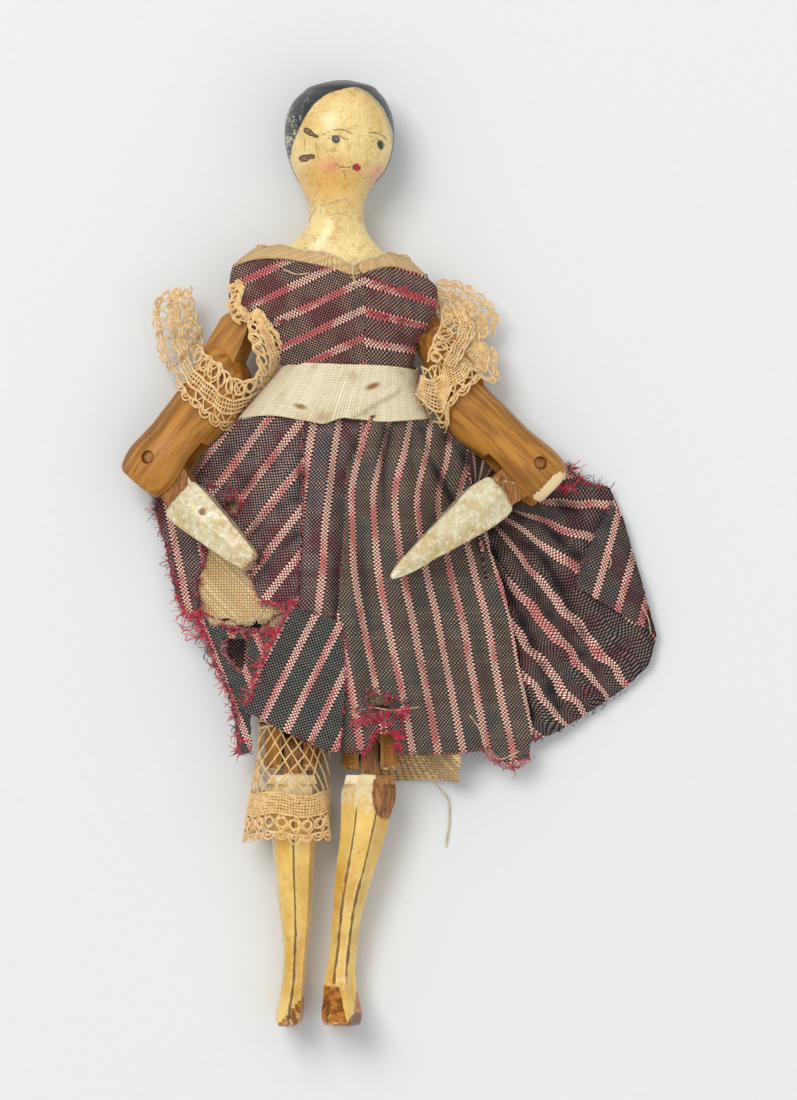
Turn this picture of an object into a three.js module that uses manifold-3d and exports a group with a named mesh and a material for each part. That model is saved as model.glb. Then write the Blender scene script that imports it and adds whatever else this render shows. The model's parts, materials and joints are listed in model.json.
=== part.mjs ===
// Dressed jointed wooden doll ("peg wooden"), about 150 mm tall, lying on its back.
//
// Millimetres. +Y runs up the body to the head, +Z is the doll's front, and +X is the
// side a viewer looking down at it sees on the right, which is what "right" means in
// every name. While it is built, X = 0 is the neck, Y = 0 the waist and Z = 0 the floor.
import * as THREE from 'three';
import { mergeVertices } from 'three/addons/utils/BufferGeometryUtils.js';
import Module from 'manifold-3d';

const wasm = await Module();
wasm.setup();

// ---- driving dimensions ------------------------------------------------------------

const GAP = 0.3;              // clearance between separate pieces
const CLOTH = 0.55;           // thickness given to one layer of cloth
const SIDES = 20;             // facets round a turned or carved section

const TORSO_Z = 8.8;          // height of the body's turned centre line
const PEG_RADIUS = 1.05;
const PEG_FIT = 0.08;         // radial clearance of a peg in its hole
const TONGUE = 2.8;           // thickness of a limb tongue
const SLOT = TONGUE + 2 * GAP;

// The head and body are one turned and carved piece: [y, half width, half depth, roundness],
// with roundness 1 for an oval section and less for a boxier one.
const BODY_STATIONS = [
  [-29.6, 8.6, 2.2, 0.8], [-28.0, 10.6, 4.2, 0.8], [-24.6, 11.8, 5.2, 0.8],
  [-18.0, 11.4, 5.2, 0.8], [-9.0, 8.8, 5.0, 0.85], [0.0, 7.2, 4.8, 0.9],
  [6.0, 8.6, 5.2, 0.8], [10.0, 12.4, 5.6, 0.75], [13.0, 15.2, 5.6, 0.75],
  [17.0, 15.2, 5.4, 0.75], [19.4, 13.6, 4.8, 0.8], [21.6, 9.6, 4.3, 0.9],
  [24.4, 5.6, 4.1, 1], [28.4, 4.1, 4.1, 1], [31.4, 5.4, 5.5, 1], [34.6, 7.5, 7.6, 1],
  [38.0, 8.6, 8.6, 1], [41.0, 8.7, 8.7, 1], [44.2, 7.9, 8.0, 1], [47.0, 5.6, 5.8, 1],
  [48.6, 2.6, 2.8, 1],
];

// Arms. Each arm's pegs lean outward from straight up by ARM_ROLL, and its upper arm climbs
// towards the shoulder by ARM_RISE per unit of length.
const ARM_ROLL = THREE.MathUtils.degToRad(22);
const ARM_RISE = 0.12;
const ARM = {
  left: {
    shoulder: [-12.8, 14.0], elbow: [-28.1, -11.4], dowelTurn: 37.7, radius: 4.7,
    length: 20.0, forearmTurn: 132.3, forearm: 'broken', forearmShift: 2.0,
  },
  right: {
    shoulder: [12.0, 12.4], elbow: [30.7, -12.5], dowelTurn: -45.5, radius: 4.3,
    length: 19.5, forearmTurn: -128.0, forearm: 'pointed', forearmShift: 0,
  },
};
const ELBOW_Z = 7.2;
const SHOULDER_PEG_LENGTH = 6.2;
const DOWEL_PAST_ELBOW = 4.6; // wood left beyond the elbow peg
const FORK_DEPTH = 11.5;      // length of the slot that takes a forearm or a shin

// Forearm sections measured from the elbow peg: [distance, half width, half thickness].
const FOREARM_STATIONS = {
  broken: [
    [6.9, 3.4, 2.3], [9.0, 3.8, 2.5], [13.5, 3.4, 2.2], [18.5, 2.7, 1.8], [23.2, 1.8, 1.4],
  ],
  pointed: [
    [6.9, 3.2, 2.3], [9.5, 3.8, 2.6], [15.5, 3.3, 2.1], [22.0, 2.2, 1.5], [27.0, 1.2, 1.0],
    [28.4, 0.5, 0.6],
  ],
};

// Legs.
const LEG = {
  left: { x: -5.9, kneeX: -7.0 },
  right: { x: 4.9, kneeX: 5.2 },
};
const HIP_Y = -24.6;
const HIP_Z = 8.2;
const KNEE_Y = -57.6;
const KNEE_Z = 7.2;
const THIGH_RADIUS = 4.6;
const THIGH_TOP = 6.6;        // the round of the thigh starts this far below the hip peg
const KNEE_PAST = 2.6;        // wood of the thigh's fork beyond the knee peg

// Shin and foot sections below the knee peg: [distance, half width, shift to the right].
// The legs were whittled by hand, so the two differ.
const SHIN_WIDTHS = {
  left: [
    [5.2, 4.0, 0], [11, 3.7, 0.1], [19, 3.1, 0.2], [26, 2.5, 0.4], [32, 1.9, 0.3],
    [37, 1.9, 0], [40, 2.1, -0.4], [43, 1.8, -0.9],
  ],
  right: [
    [5.2, 4.4, -0.1], [11, 4.0, -0.8], [17.3, 3.4, -2.0], [24.2, 2.6, -3.4],
    [31, 2.25, -4.2], [36.2, 2.6, -4.7], [40, 3.0, -4.6], [43, 3.0, -4.4],
  ],
};
// Shin and foot in side view: [distance, height of the back, height of the front].
const SHIN_PROFILE = [
  [5.2, 2.9, 11.5], [11, 2.8, 11.5], [19, 2.4, 10.8], [26, 2.0, 9.3], [32, 1.6, 7.9],
  [36.5, 0.8, 7.8], [39.5, 0.1, 10.4], [41.4, 0.0, 13.6], [43, 0.5, 14.6],
];

// Clothes: the bodice as [y, centre x, half width, half depth].
const BODICE_STATIONS = [
  [4.2, 1.6, 10.4, 6.2], [8.0, 0.6, 12.6, 6.8], [12.0, -0.2, 16.0, 7.0],
  [17.5, -0.4, 16.3, 6.8], [19.8, -0.5, 15.6, 6.2],
];
const BODICE_ROUNDNESS = 0.8;
const NECKLINE_Y = 19.8;
const NECKLINE_DIP = 2.0;
const SASH = { x: 0.8, width: 10.9, depth: 6.7, top: 3.8, bottom: -4.9, flare: 0.8, thickness: 0.6 };

// Height of the skirt's front over the floor, across the doll: [x, z].
const DRAPE = [
  [-30, 2.2], [-22, 5.4], [-15, 10.6], [-10, 14.6], [-5, 15.9], [0, 16.0], [5, 15.9],
  [10, 15.0], [14, 12.1], [18, 9.2], [22, 7.4], [27, 6.0], [34, 5.0],
];

const SKIRT_WAIST_Y = -5.6;
const SKIRT_LEFT_HEM_Y = -33.4; // the front's left side is torn off at the lap
const SKIRT_HEM_Y = -57.2;

// Edges of the skirt's panels down the doll: [y, x].
const SKIRT_LEFT_EDGE = [[-5.6, -13.4], [-12.7, -20.6], [-19, -22.4], [-26, -19.2], [-33.4, -13.4]];
const SKIRT_MIDDLE = [[-5.6, 4.0], [-12.7, 1.4], [-24, 0.9], [-35, 0.2], [-49, 1.3], [-57.2, 2.1]];
const SKIRT_RIGHT_EDGE = [[-5.6, 13.4], [-17.4, 22.0], [-33.3, 26.2], [-51.5, 31.0], [-57.0, 33.0]];
const FAN_EDGE = [
  [-11.8, 33.0], [-14, 40.5], [-20.6, 44.9], [-34.9, 49.6], [-42, 50.9], [-47, 47.5], [-53, 38.5],
];
const STRIP_OUTER = [[-15.5, -26.6], [-18.5, -29.3], [-31, -26.2], [-41, -21.1], [-50, -16.8]];
const STRIP_INNER = [[-15.5, -25.0], [-18.5, -23.5], [-31, -21.6], [-41, -17.6], [-50, -14.6]];

const COLOURS = {
  paint: ['#e6cf97', 0.35], wood: ['#a8743c', 0.55], peg: ['#8d5a2b', 0.6],
  stripe: ['#5b4247', 0.9], ribbon: ['#d9cdb4', 0.7], lace: ['#c9ab7c', 0.95],
  linen: ['#cbb183', 0.95], tape: ['#c8a878', 0.95],
};

// ---- small helpers -----------------------------------------------------------------

const doll = new THREE.Group();
doll.name = 'jointed_wooden_doll';

function addNode(name, geometry, kind) {
  const [color, roughness] = COLOURS[kind];
  const material = new THREE.MeshStandardMaterial({ color, roughness, metalness: 0 });
  const mesh = new THREE.Mesh(geometry, material);
  mesh.name = name;
  doll.add(mesh);
}

function solid(geometry) {
  const bare = geometry.clone();
  bare.deleteAttribute('normal');
  bare.deleteAttribute('uv');
  const welded = mergeVertices(bare, 1e-4);
  return new wasm.Manifold(new wasm.Mesh({
    numProp: 3,
    vertProperties: new Float32Array(welded.attributes.position.array),
    triVerts: new Uint32Array(welded.index.array),
  }));
}

function meshOf(manifold) {
  const mesh = manifold.getMesh();
  const geometry = new THREE.BufferGeometry();
  geometry.setAttribute('position', new THREE.BufferAttribute(mesh.vertProperties, 3));
  geometry.setIndex(new THREE.BufferAttribute(mesh.triVerts, 1));
  return geometry;
}

// Value at t of a table of [t, value, ...] rows sorted either way, straight between rows.
function lookUp(rows, t, column = 1) {
  const rising = rows[rows.length - 1][0] > rows[0][0];
  for (let i = 1; i < rows.length; i += 1) {
    const [from, to] = [rows[i - 1], rows[i]];
    const last = i === rows.length - 1;
    if (last || (rising ? t <= to[0] : t >= to[0])) {
      const share = THREE.MathUtils.clamp((t - from[0]) / (to[0] - from[0]), 0, 1);
      return from[column] + (to[column] - from[column]) * share;
    }
  }
  return rows[0][column];
}

// Geometry from points and faces, turned inside out if the faces point inwards.
function closedSolid(points, index) {
  let volume = 0;
  for (let i = 0; i < index.length; i += 3) {
    const [a, b, c] = [points[index[i]], points[index[i + 1]], points[index[i + 2]]];
    volume += a.dot(b.clone().cross(c));
  }
  const faces = volume < 0 ? [...index].reverse() : index;
  const geometry = new THREE.BufferGeometry().setFromPoints(points);
  geometry.setIndex(faces);
  return geometry;
}

// Closed solid through rings of points, each end closed with a flat cap.
function ringSolid(rings) {
  const count = rings[0].length;
  const points = rings.flat();
  const index = [];
  for (let r = 0; r < rings.length - 1; r += 1) {
    for (let i = 0; i < count; i += 1) {
      const a = r * count + i;
      const b = r * count + (i + 1) % count;
      index.push(a, b, b + count, a, b + count, a + count);
    }
  }
  const last = (rings.length - 1) * count;
  for (let i = 1; i < count - 1; i += 1) {
    index.push(0, i + 1, i);
    index.push(last, last + i, last + i + 1);
  }
  return closedSolid(points, index);
}

// Point of an oval at an angle; a roundness under 1 squares its shoulders.
function ovalPoint(angle, width, depth, roundness) {
  const bend = (value) => Math.sign(value) * Math.abs(value) ** roundness;
  return [width * bend(Math.cos(angle)), depth * bend(Math.sin(angle))];
}

// Solid lofted through oval sections. A station is { at, width, depth, x, z, roundness }:
// distance along +Y, half sizes, centre and roundness.
function loft(stations, sides = SIDES) {
  const rings = stations.map(({ at, width, depth, x = 0, z = 0, roundness = 1 }) => {
    const ring = [];
    for (let i = 0; i < sides; i += 1) {
      const [across, up] = ovalPoint(-(2 * Math.PI * i) / sides, width, depth, roundness);
      ring.push(new THREE.Vector3(x + across, at, z + up));
    }
    return ring;
  });
  return ringSolid(rings);
}

function box(width, length, height, x = 0, y = 0, z = 0) {
  return new THREE.BoxGeometry(width, length, height).translate(x, y, z);
}

// Round bar along +Z of a frame.
function bar(radius, length, sides = 16) {
  return new THREE.CylinderGeometry(radius, radius, length, sides).rotateX(Math.PI / 2);
}

// Frame with its origin at a point, +Y along `up` and +Z near `front`.
function frameAt(origin, up, front) {
  const y = up.clone().normalize();
  const z = front.clone().addScaledVector(y, -front.dot(y)).normalize();
  const x = new THREE.Vector3().crossVectors(y, z);
  return new THREE.Matrix4().makeBasis(x, y, z).setPosition(origin);
}

// Sheet of cloth: the outer face is surface(u, v); the inner lies one thickness below it.
function sheet(surface, across, down, thickness = CLOTH) {
  const at = (u, v) => new THREE.Vector3(...surface(u, v));
  const outer = [];
  const inner = [];
  for (let j = 0; j <= down; j += 1) {
    for (let i = 0; i <= across; i += 1) {
      const [u, v] = [i / across, j / down];
      const step = 0.01;
      const alongU = at(Math.min(u + step, 1), v).sub(at(Math.max(u - step, 0), v));
      const alongV = at(u, Math.min(v + step, 1)).sub(at(u, Math.max(v - step, 0)));
      const normal = alongV.cross(alongU).normalize();
      outer.push(at(u, v));
      inner.push(at(u, v).addScaledVector(normal, -thickness));
    }
  }
  const row = across + 1;
  const shift = outer.length;
  const index = [];
  for (let j = 0; j < down; j += 1) {
    for (let i = 0; i < across; i += 1) {
      const a = j * row + i;
      index.push(a, a + row, a + 1, a + 1, a + row, a + row + 1);
      index.push(shift + a, shift + a + 1, shift + a + row);
      index.push(shift + a + 1, shift + a + row + 1, shift + a + row);
    }
  }
  const rim = [];
  for (let i = 0; i < across; i += 1) rim.push(i);
  for (let j = 0; j < down; j += 1) rim.push(j * row + across);
  for (let i = across; i > 0; i -= 1) rim.push(down * row + i);
  for (let j = down; j > 0; j -= 1) rim.push(j * row);
  for (let i = 0; i < rim.length; i += 1) {
    const a = rim[i];
    const b = rim[(i + 1) % rim.length];
    index.push(a, b, shift + a, b, shift + b, shift + a);
  }
  return closedSolid([...outer, ...inner], index);
}

// ---- arms --------------------------------------------------------------------------

// Everything about one arm that other pieces need: its peg axis and its frames.
function armFrames(side) {
  const arm = ARM[side];
  const elbow = new THREE.Vector3(...arm.elbow, ELBOW_Z);
  const turn = THREE.MathUtils.degToRad(arm.dowelTurn);
  const outward = new THREE.Vector3(Math.cos(turn), -Math.sin(turn), 0);
  if (side === 'left') outward.negate();
  const along = new THREE.Vector3(Math.sin(turn), Math.cos(turn), ARM_RISE).normalize();
  const peg = new THREE.Vector3(0, 0, 1).addScaledVector(along, -along.z).normalize();
  peg.multiplyScalar(Math.cos(ARM_ROLL)).addScaledVector(outward, Math.sin(ARM_ROLL));
  // The shoulder peg stands in the plane the arm swings in.
  const shoulder = new THREE.Vector3(...arm.shoulder, 0);
  const fromElbow = shoulder.clone().sub(elbow).setZ(0);
  shoulder.z = ELBOW_Z - fromElbow.dot(peg) / peg.z;
  const forearmTurn = THREE.MathUtils.degToRad(arm.forearmTurn);
  const reach = new THREE.Vector3(Math.sin(forearmTurn), Math.cos(forearmTurn), 0);
  reach.z = -(reach.x * peg.x + reach.y * peg.y) / peg.z;
  return {
    peg, shoulder, elbow,
    dowel: frameAt(elbow, along, peg),
    forearm: frameAt(elbow, reach, peg),
    pivot: frameAt(shoulder, along, peg),
  };
}

// The shoulder seen in the dowel's own frame.
function shoulderInDowel(frames) {
  return frames.shoulder.clone().applyMatrix4(frames.dowel.clone().invert());
}

// Flat link with round ends between two points of the plane z = 0.
function link(from, to, radiusFrom, radiusTo, thickness) {
  const direction = to.clone().sub(from);
  const angle = Math.atan2(direction.y, direction.x);
  const shape = new THREE.Shape();
  shape.absarc(from.x, from.y, radiusFrom, angle + Math.PI / 2, angle + 1.5 * Math.PI, false);
  shape.absarc(to.x, to.y, radiusTo, angle - Math.PI / 2, angle + Math.PI / 2, false);
  const plate = new THREE.ExtrudeGeometry(shape, {
    depth: thickness, bevelEnabled: false, curveSegments: 8,
  });
  return plate.translate(0, 0, -thickness / 2);
}

function upperArm(side) {
  const arm = ARM[side];
  const frames = armFrames(side);
  const inward = side === 'left' ? 1 : -1;
  const r = arm.radius;
  const dowel = loft([
    { at: -DOWEL_PAST_ELBOW, width: r * 0.9, depth: r * 0.9 },
    { at: -DOWEL_PAST_ELBOW + 0.8, width: r, depth: r },
    { at: arm.length - 3.0, width: r, depth: r },
    { at: arm.length, width: r * 0.8, depth: r * 0.86, x: -inward * r * 0.2 },
    { at: arm.length + 1.4, width: r * 0.5, depth: r * 0.5, x: -inward * r * 0.45 },
  ]);
  const top = shoulderInDowel(frames);
  const seat = new THREE.Vector3(-inward * r * 0.42, arm.length - 1.5, 0);
  const tongue = link(seat, new THREE.Vector3(top.x, top.y, 0), 2.3, 2.6, TONGUE);
  const forkEnd = FORK_DEPTH - DOWEL_PAST_ELBOW;
  const slot = box(3 * r, FORK_DEPTH + 1, SLOT, 0, forkEnd - (FORK_DEPTH + 1) / 2, 0);
  const pegHole = bar(PEG_RADIUS + PEG_FIT, 4 * r);
  const shoulderHole = bar(PEG_RADIUS + PEG_FIT, 4 * r).translate(top.x, top.y, 0);
  const body = solid(dowel).add(solid(tongue)).subtract(solid(slot))
    .subtract(solid(pegHole)).subtract(solid(shoulderHole));
  return meshOf(body).applyMatrix4(frames.dowel);
}

function forearm(side) {
  const stations = FOREARM_STATIONS[ARM[side].forearm];
  const shift = ARM[side].forearmShift;
  const frames = armFrames(side);
  const hand = loft(stations.map(([at, width, depth]) => ({
    at, width, depth, x: shift, roundness: 0.8,
  })), 16);
  const root = new THREE.Vector3(shift, stations[1][0], 0);
  const tongue = link(new THREE.Vector3(0, 0, 0), root, 3.4, 2.4, TONGUE);
  const hole = bar(PEG_RADIUS + PEG_FIT, 3 * TONGUE);
  const body = solid(hand).add(solid(tongue)).subtract(solid(hole));
  return meshOf(body).applyMatrix4(frames.forearm);
}

// ---- legs --------------------------------------------------------------------------

// Flat link whose thickness runs along X, for a hip or knee tongue.
function legTongue(y, z, length, radius) {
  const plate = link(new THREE.Vector3(0, 0, 0), new THREE.Vector3(0, -length, 0), radius, radius, TONGUE);
  return plate.rotateY(Math.PI / 2).translate(0, y, z);
}

function crossBar(radius, length) {
  return bar(radius, length).rotateY(Math.PI / 2);
}

function thigh(side) {
  const { x, kneeX } = LEG[side];
  const top = HIP_Y - THIGH_TOP;
  const bottom = KNEE_Y - KNEE_PAST;
  const r = THIGH_RADIUS;
  const leg = loft([
    { at: bottom, width: r * 0.92, depth: r * 0.9, x: kneeX, z: KNEE_Z },
    { at: bottom + 1, width: r, depth: r, x: kneeX, z: KNEE_Z },
    { at: top - 0.8, width: r, depth: r, x, z: HIP_Z },
    { at: top, width: r * 0.93, depth: r * 0.93, x, z: HIP_Z },
  ]);
  const tongue = legTongue(HIP_Y, HIP_Z, THIGH_TOP + 4, 3.2).translate(x, 0, 0);
  const forkTop = KNEE_Y + 5.6;
  const slot = box(SLOT, forkTop - bottom + 1, 3 * r, kneeX, (forkTop + bottom - 1) / 2, KNEE_Z);
  const hipHole = crossBar(PEG_RADIUS + PEG_FIT, 2 * r).translate(x, HIP_Y, HIP_Z);
  const kneeHole = crossBar(PEG_RADIUS + PEG_FIT, 3 * r).translate(kneeX, KNEE_Y, KNEE_Z);
  return meshOf(solid(leg).add(solid(tongue)).subtract(solid(slot))
    .subtract(solid(hipHole)).subtract(solid(kneeHole)));
}

function lowerLeg(side) {
  const { kneeX } = LEG[side];
  const widths = SHIN_WIDTHS[side];
  const stations = SHIN_PROFILE.map(([at, back, front]) => ({
    at: KNEE_Y - at,
    width: lookUp(widths, at, 1),
    depth: (front - back) / 2,
    x: kneeX + lookUp(widths, at, 2),
    z: (front + back) / 2,
    roundness: 0.75,
  }));
  const shin = loft(stations.reverse(), 12);
  const tongue = legTongue(KNEE_Y, KNEE_Z, SHIN_PROFILE[1][0], 3.2).translate(kneeX, 0, 0);
  const hole = crossBar(PEG_RADIUS + PEG_FIT, 3 * TONGUE).translate(kneeX, KNEE_Y, KNEE_Z);
  return meshOf(solid(shin).add(solid(tongue)).subtract(solid(hole)));
}

// ---- head and body -----------------------------------------------------------------

function headAndTorso() {
  let body = solid(loft(BODY_STATIONS.map(([at, width, depth, roundness]) => ({
    at, width, depth, z: TORSO_Z, roundness,
  })), 28));
  for (const side of ['left', 'right']) {
    const frames = armFrames(side);
    const outward = side === 'left' ? -1 : 1;
    // The slot runs from the peg to the side of the body, wide enough for the whole swing.
    const reach = 16;
    const inside = 3.4;
    const above = 6.5;
    const slot = solid(bar(4.2, SLOT, 20))
      .add(solid(box(reach + inside, reach, SLOT, (outward * (reach - inside)) / 2, -reach / 2, 0)))
      .add(solid(box(reach, above, SLOT, (outward * reach) / 2, above / 2, 0)));
    body = body.subtract(slot.transform(frames.pivot.elements));
    const hole = bar(PEG_RADIUS + PEG_FIT, 30).applyMatrix4(frames.pivot);
    body = body.subtract(solid(hole));
    const { x } = LEG[side];
    const hipSlot = box(SLOT, 12, 20, x, HIP_Y - 2.0, HIP_Z);
    body = body.subtract(solid(hipSlot));
  }
  const hipHole = crossBar(PEG_RADIUS + PEG_FIT, 40).translate(0, HIP_Y, HIP_Z);
  return meshOf(body.subtract(solid(hipHole)));
}

// ---- clothes -----------------------------------------------------------------------

// Point of the bodice at angle t (0 = right, a quarter turn = front) and height y.
function bodicePoint(t, y) {
  const centre = lookUp(BODICE_STATIONS, y, 1);
  const width = lookUp(BODICE_STATIONS, y, 2);
  const depth = lookUp(BODICE_STATIONS, y, 3);
  const [across, up] = ovalPoint(t, width, depth, BODICE_ROUNDNESS);
  return [centre + across, y, TORSO_Z + up];
}

function neckline(t) {
  return NECKLINE_Y - NECKLINE_DIP * Math.max(0, Math.sin(t)) ** 8;
}

function bodicePanel(fromDegrees, toDegrees) {
  const from = THREE.MathUtils.degToRad(fromDegrees);
  const to = THREE.MathUtils.degToRad(toDegrees);
  const bottom = BODICE_STATIONS[0][0];
  return sheet((u, v) => {
    const t = THREE.MathUtils.lerp(from, to, u);
    return bodicePoint(t, THREE.MathUtils.lerp(neckline(t), bottom, v));
  }, 10, 5);
}

function neckTape(fromDegrees, toDegrees) {
  const from = THREE.MathUtils.degToRad(fromDegrees);
  const to = THREE.MathUtils.degToRad(toDegrees);
  return sheet((u, v) => {
    const t = from + (to - from) * u;
    const [across, up] = ovalPoint(t, 12.6 + 2.8 * v, 5.4 + 0.8 * v, BODICE_ROUNDNESS);
    return [-0.5 + across, neckline(t) + 2.6 - 2.2 * v, TORSO_Z + up];
  }, 10, 1, 0.5);
}

// Ribbon round the waist, a little wider at its lower edge.
function sash() {
  const { x, width, depth, top, bottom, flare, thickness } = SASH;
  const rings = [];
  const turns = 28;
  for (let i = 0; i < turns; i += 1) {
    const t = (2 * Math.PI * i) / turns;
    const place = (spread, y) => {
      const reach = width + spread + (y < 0 ? flare : 0);
      return new THREE.Vector3(x + reach * Math.cos(t), y, TORSO_Z + (depth + spread) * Math.sin(t));
    };
    rings.push([place(0, top), place(thickness, top), place(thickness, bottom), place(0, bottom)]);
  }
  return loopSolid(rings);
}

// Closed ring-shaped solid through sections that come back to the first.
function loopSolid(sections) {
  const count = sections[0].length;
  const index = [];
  for (let s = 0; s < sections.length; s += 1) {
    const next = (s + 1) % sections.length;
    for (let i = 0; i < count; i += 1) {
      const j = (i + 1) % count;
      index.push(s * count + i, s * count + j, next * count + j);
      index.push(s * count + i, next * count + j, next * count + i);
    }
  }
  return closedSolid(sections.flat(), index);
}

// Open tube: stations { at, width, depth, x, z } along +Y with a wall.
function tube(stations, wall, sides = 18) {
  const sections = [];
  for (let i = 0; i < sides; i += 1) {
    const t = (2 * Math.PI * i) / sides;
    const place = ({ at, width, depth, x = 0, z = 0 }, spread) => new THREE.Vector3(
      x + (width + spread) * Math.cos(t), at, z + (depth + spread) * Math.sin(t),
    );
    const innerSide = stations.map((station) => place(station, 0));
    const outerSide = [...stations].reverse().map((station) => place(station, wall));
    sections.push([...innerSide, ...outerSide]);
  }
  return loopSolid(sections);
}

// Gathered lace round an upper arm, between two distances from the elbow.
function sleeve(side, from, to, flare) {
  const r = ARM[side].radius + 0.35;
  const middle = (from + to) / 2;
  return tube([
    { at: from, width: r, depth: r },
    { at: middle, width: r + flare, depth: r + flare * 0.7 },
    { at: to, width: r + flare * 0.3, depth: r + flare * 0.2 },
  ], 0.8, 14).applyMatrix4(armFrames(side).dowel);
}

// Loose end of the left sleeve's lace, standing off beside the arm.
function laceTail() {
  return sheet((u, v) => [
    -28.8 + 8.2 * u, 15.8 - 8.6 * v - 2.0 * u, 3.0 + 1.2 * Math.sin(5 * v) + 2.0 * u,
  ], 5, 5, 0.6);
}

// Front skirt panel between two edge curves, hanging from the waist to a hem.
function skirtPanel(leftEdge, rightEdge, hem, down) {
  return sheet((u, v) => {
    const y = THREE.MathUtils.lerp(SKIRT_WAIST_Y, hem, v);
    const x = THREE.MathUtils.lerp(lookUp(leftEdge, y), lookUp(rightEdge, y), u);
    return [x, y, lookUp(DRAPE, x)];
  }, 14, down);
}

const shifted = (edge, dx) => edge.map(([y, x]) => [y, x + dx]);

// The right side of the skirt, spread flat like a fan beyond the front panel.
function skirtFan() {
  return sheet((u, v) => {
    const y = THREE.MathUtils.lerp(-12.0, -57.0, v);
    const inner = lookUp(SKIRT_RIGHT_EDGE, y) + 0.8;
    const outerY = THREE.MathUtils.lerp(-11.8, -53.0, v);
    const outer = lookUp(FAN_EDGE, outerY);
    return [
      THREE.MathUtils.lerp(inner, outer, u), THREE.MathUtils.lerp(y, outerY, u),
      THREE.MathUtils.lerp(3.0, 1.6, u) + 0.5 * Math.sin(3 * Math.PI * u),
    ];
  }, 10, 10);
}

// Back of the skirt, flat on the floor.
function skirtBack() {
  const shape = new THREE.Shape();
  const outline = [
    [-11, -6], [-21, -13], [-27.5, -19], [-25, -31], [-20, -41], [-15, -50], [-11.5, -52.4],
    [12, -52.4], [31, -54], [38, -51.5], [46, -46], [49.4, -41.5], [48, -35], [43.5, -20.5],
    [38.5, -14.5], [24, -11], [11, -6],
  ];
  shape.setFromPoints(outline.map(([x, y]) => new THREE.Vector2(x, y)));
  return new THREE.ExtrudeGeometry(shape, { depth: CLOTH, bevelEnabled: false });
}

// Torn strip of the skirt's left side, turned down beside the leg.
function skirtStrip() {
  return sheet((u, v) => {
    const y = THREE.MathUtils.lerp(-15.5, -50, v);
    return [
      THREE.MathUtils.lerp(lookUp(STRIP_OUTER, y), lookUp(STRIP_INNER, y), u), y, 1.9 + 1.6 * u,
    ];
  }, 2, 8);
}

// Torn lower left part of the skirt, folded up over the left leg.
function foldedPatch() {
  return sheet((u, v) => {
    const y = THREE.MathUtils.lerp(-36.4, -57.0 + 6.6 * (1 - u), v);
    const left = THREE.MathUtils.lerp(-7.8, -14.2, v);
    return [THREE.MathUtils.lerp(left, -0.3, u), y, 14.9 + 0.6 * u - 2.6 * (1 - u) * v];
  }, 6, 6);
}

function petticoat() {
  return sheet((u, v) => {
    const y = THREE.MathUtils.lerp(-8.0, -33.0 - 3.4 * (1 - u), v);
    const x = THREE.MathUtils.lerp(lookUp([[-8, -10.5], [-26, -20.2], [-36.4, -20.0]], y), 11.5, u);
    return [x, y, Math.min(lookUp(DRAPE, x) - 1.25, 14.8)];
  }, 14, 6, 0.4);
}

// Centre line of a thigh at a height on the leg.
function thighCentre(side, y) {
  const { x, kneeX } = LEG[side];
  const share = (HIP_Y - THIGH_TOP - y) / (KNEE_PAST + HIP_Y - THIGH_TOP - KNEE_Y);
  return { x: THREE.MathUtils.lerp(x, kneeX, share), z: THREE.MathUtils.lerp(HIP_Z, KNEE_Z, share) };
}

function drawers(side, hem) {
  const r = THIGH_RADIUS + GAP;
  const loose = side === 'right' ? 1.6 : 0;
  const top = HIP_Y - THIGH_TOP - 0.4;
  const upper = thighCentre(side, top);
  const lower = thighCentre(side, hem);
  return tube([
    { at: top, width: r, depth: r, x: upper.x, z: upper.z },
    { at: hem, width: r + loose, depth: r + loose / 3, x: lower.x + loose, z: lower.z },
  ], 0.3);
}

function laceCuff() {
  const x = LEG.left.kneeX;
  return tube([
    { at: -53.4, width: 5.1, depth: 5.1, x, z: KNEE_Z },
    { at: -64, width: 5.5, depth: 5.4, x: x - 0.6, z: KNEE_Z },
    { at: -70.4, width: 5.7, depth: 5.4, x: x - 0.6, z: KNEE_Z },
  ], 0.5);
}

// ---- assembly ----------------------------------------------------------------------

addNode('head_and_torso', headAndTorso(), 'paint');
for (const side of ['left', 'right']) {
  const frames = armFrames(side);
  addNode(`shoulder_peg_${side}`, bar(PEG_RADIUS, SHOULDER_PEG_LENGTH).applyMatrix4(frames.pivot), 'peg');
  addNode(`upper_arm_${side}`, upperArm(side), 'wood');
  addNode(`elbow_peg_${side}`, bar(PEG_RADIUS, 2 * ARM[side].radius).applyMatrix4(frames.dowel), 'peg');
  addNode(`forearm_${side}`, forearm(side), 'paint');
  addNode(`thigh_${side}`, thigh(side), 'wood');
  const kneePeg = crossBar(PEG_RADIUS, 2 * THIGH_RADIUS - 0.4);
  addNode(`knee_peg_${side}`, kneePeg.translate(LEG[side].kneeX, KNEE_Y, KNEE_Z), 'peg');
  addNode(`lower_leg_${side}`, lowerLeg(side), 'paint');
}
addNode('hip_peg', crossBar(PEG_RADIUS, 22.4).translate(0, HIP_Y, HIP_Z), 'peg');

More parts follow.
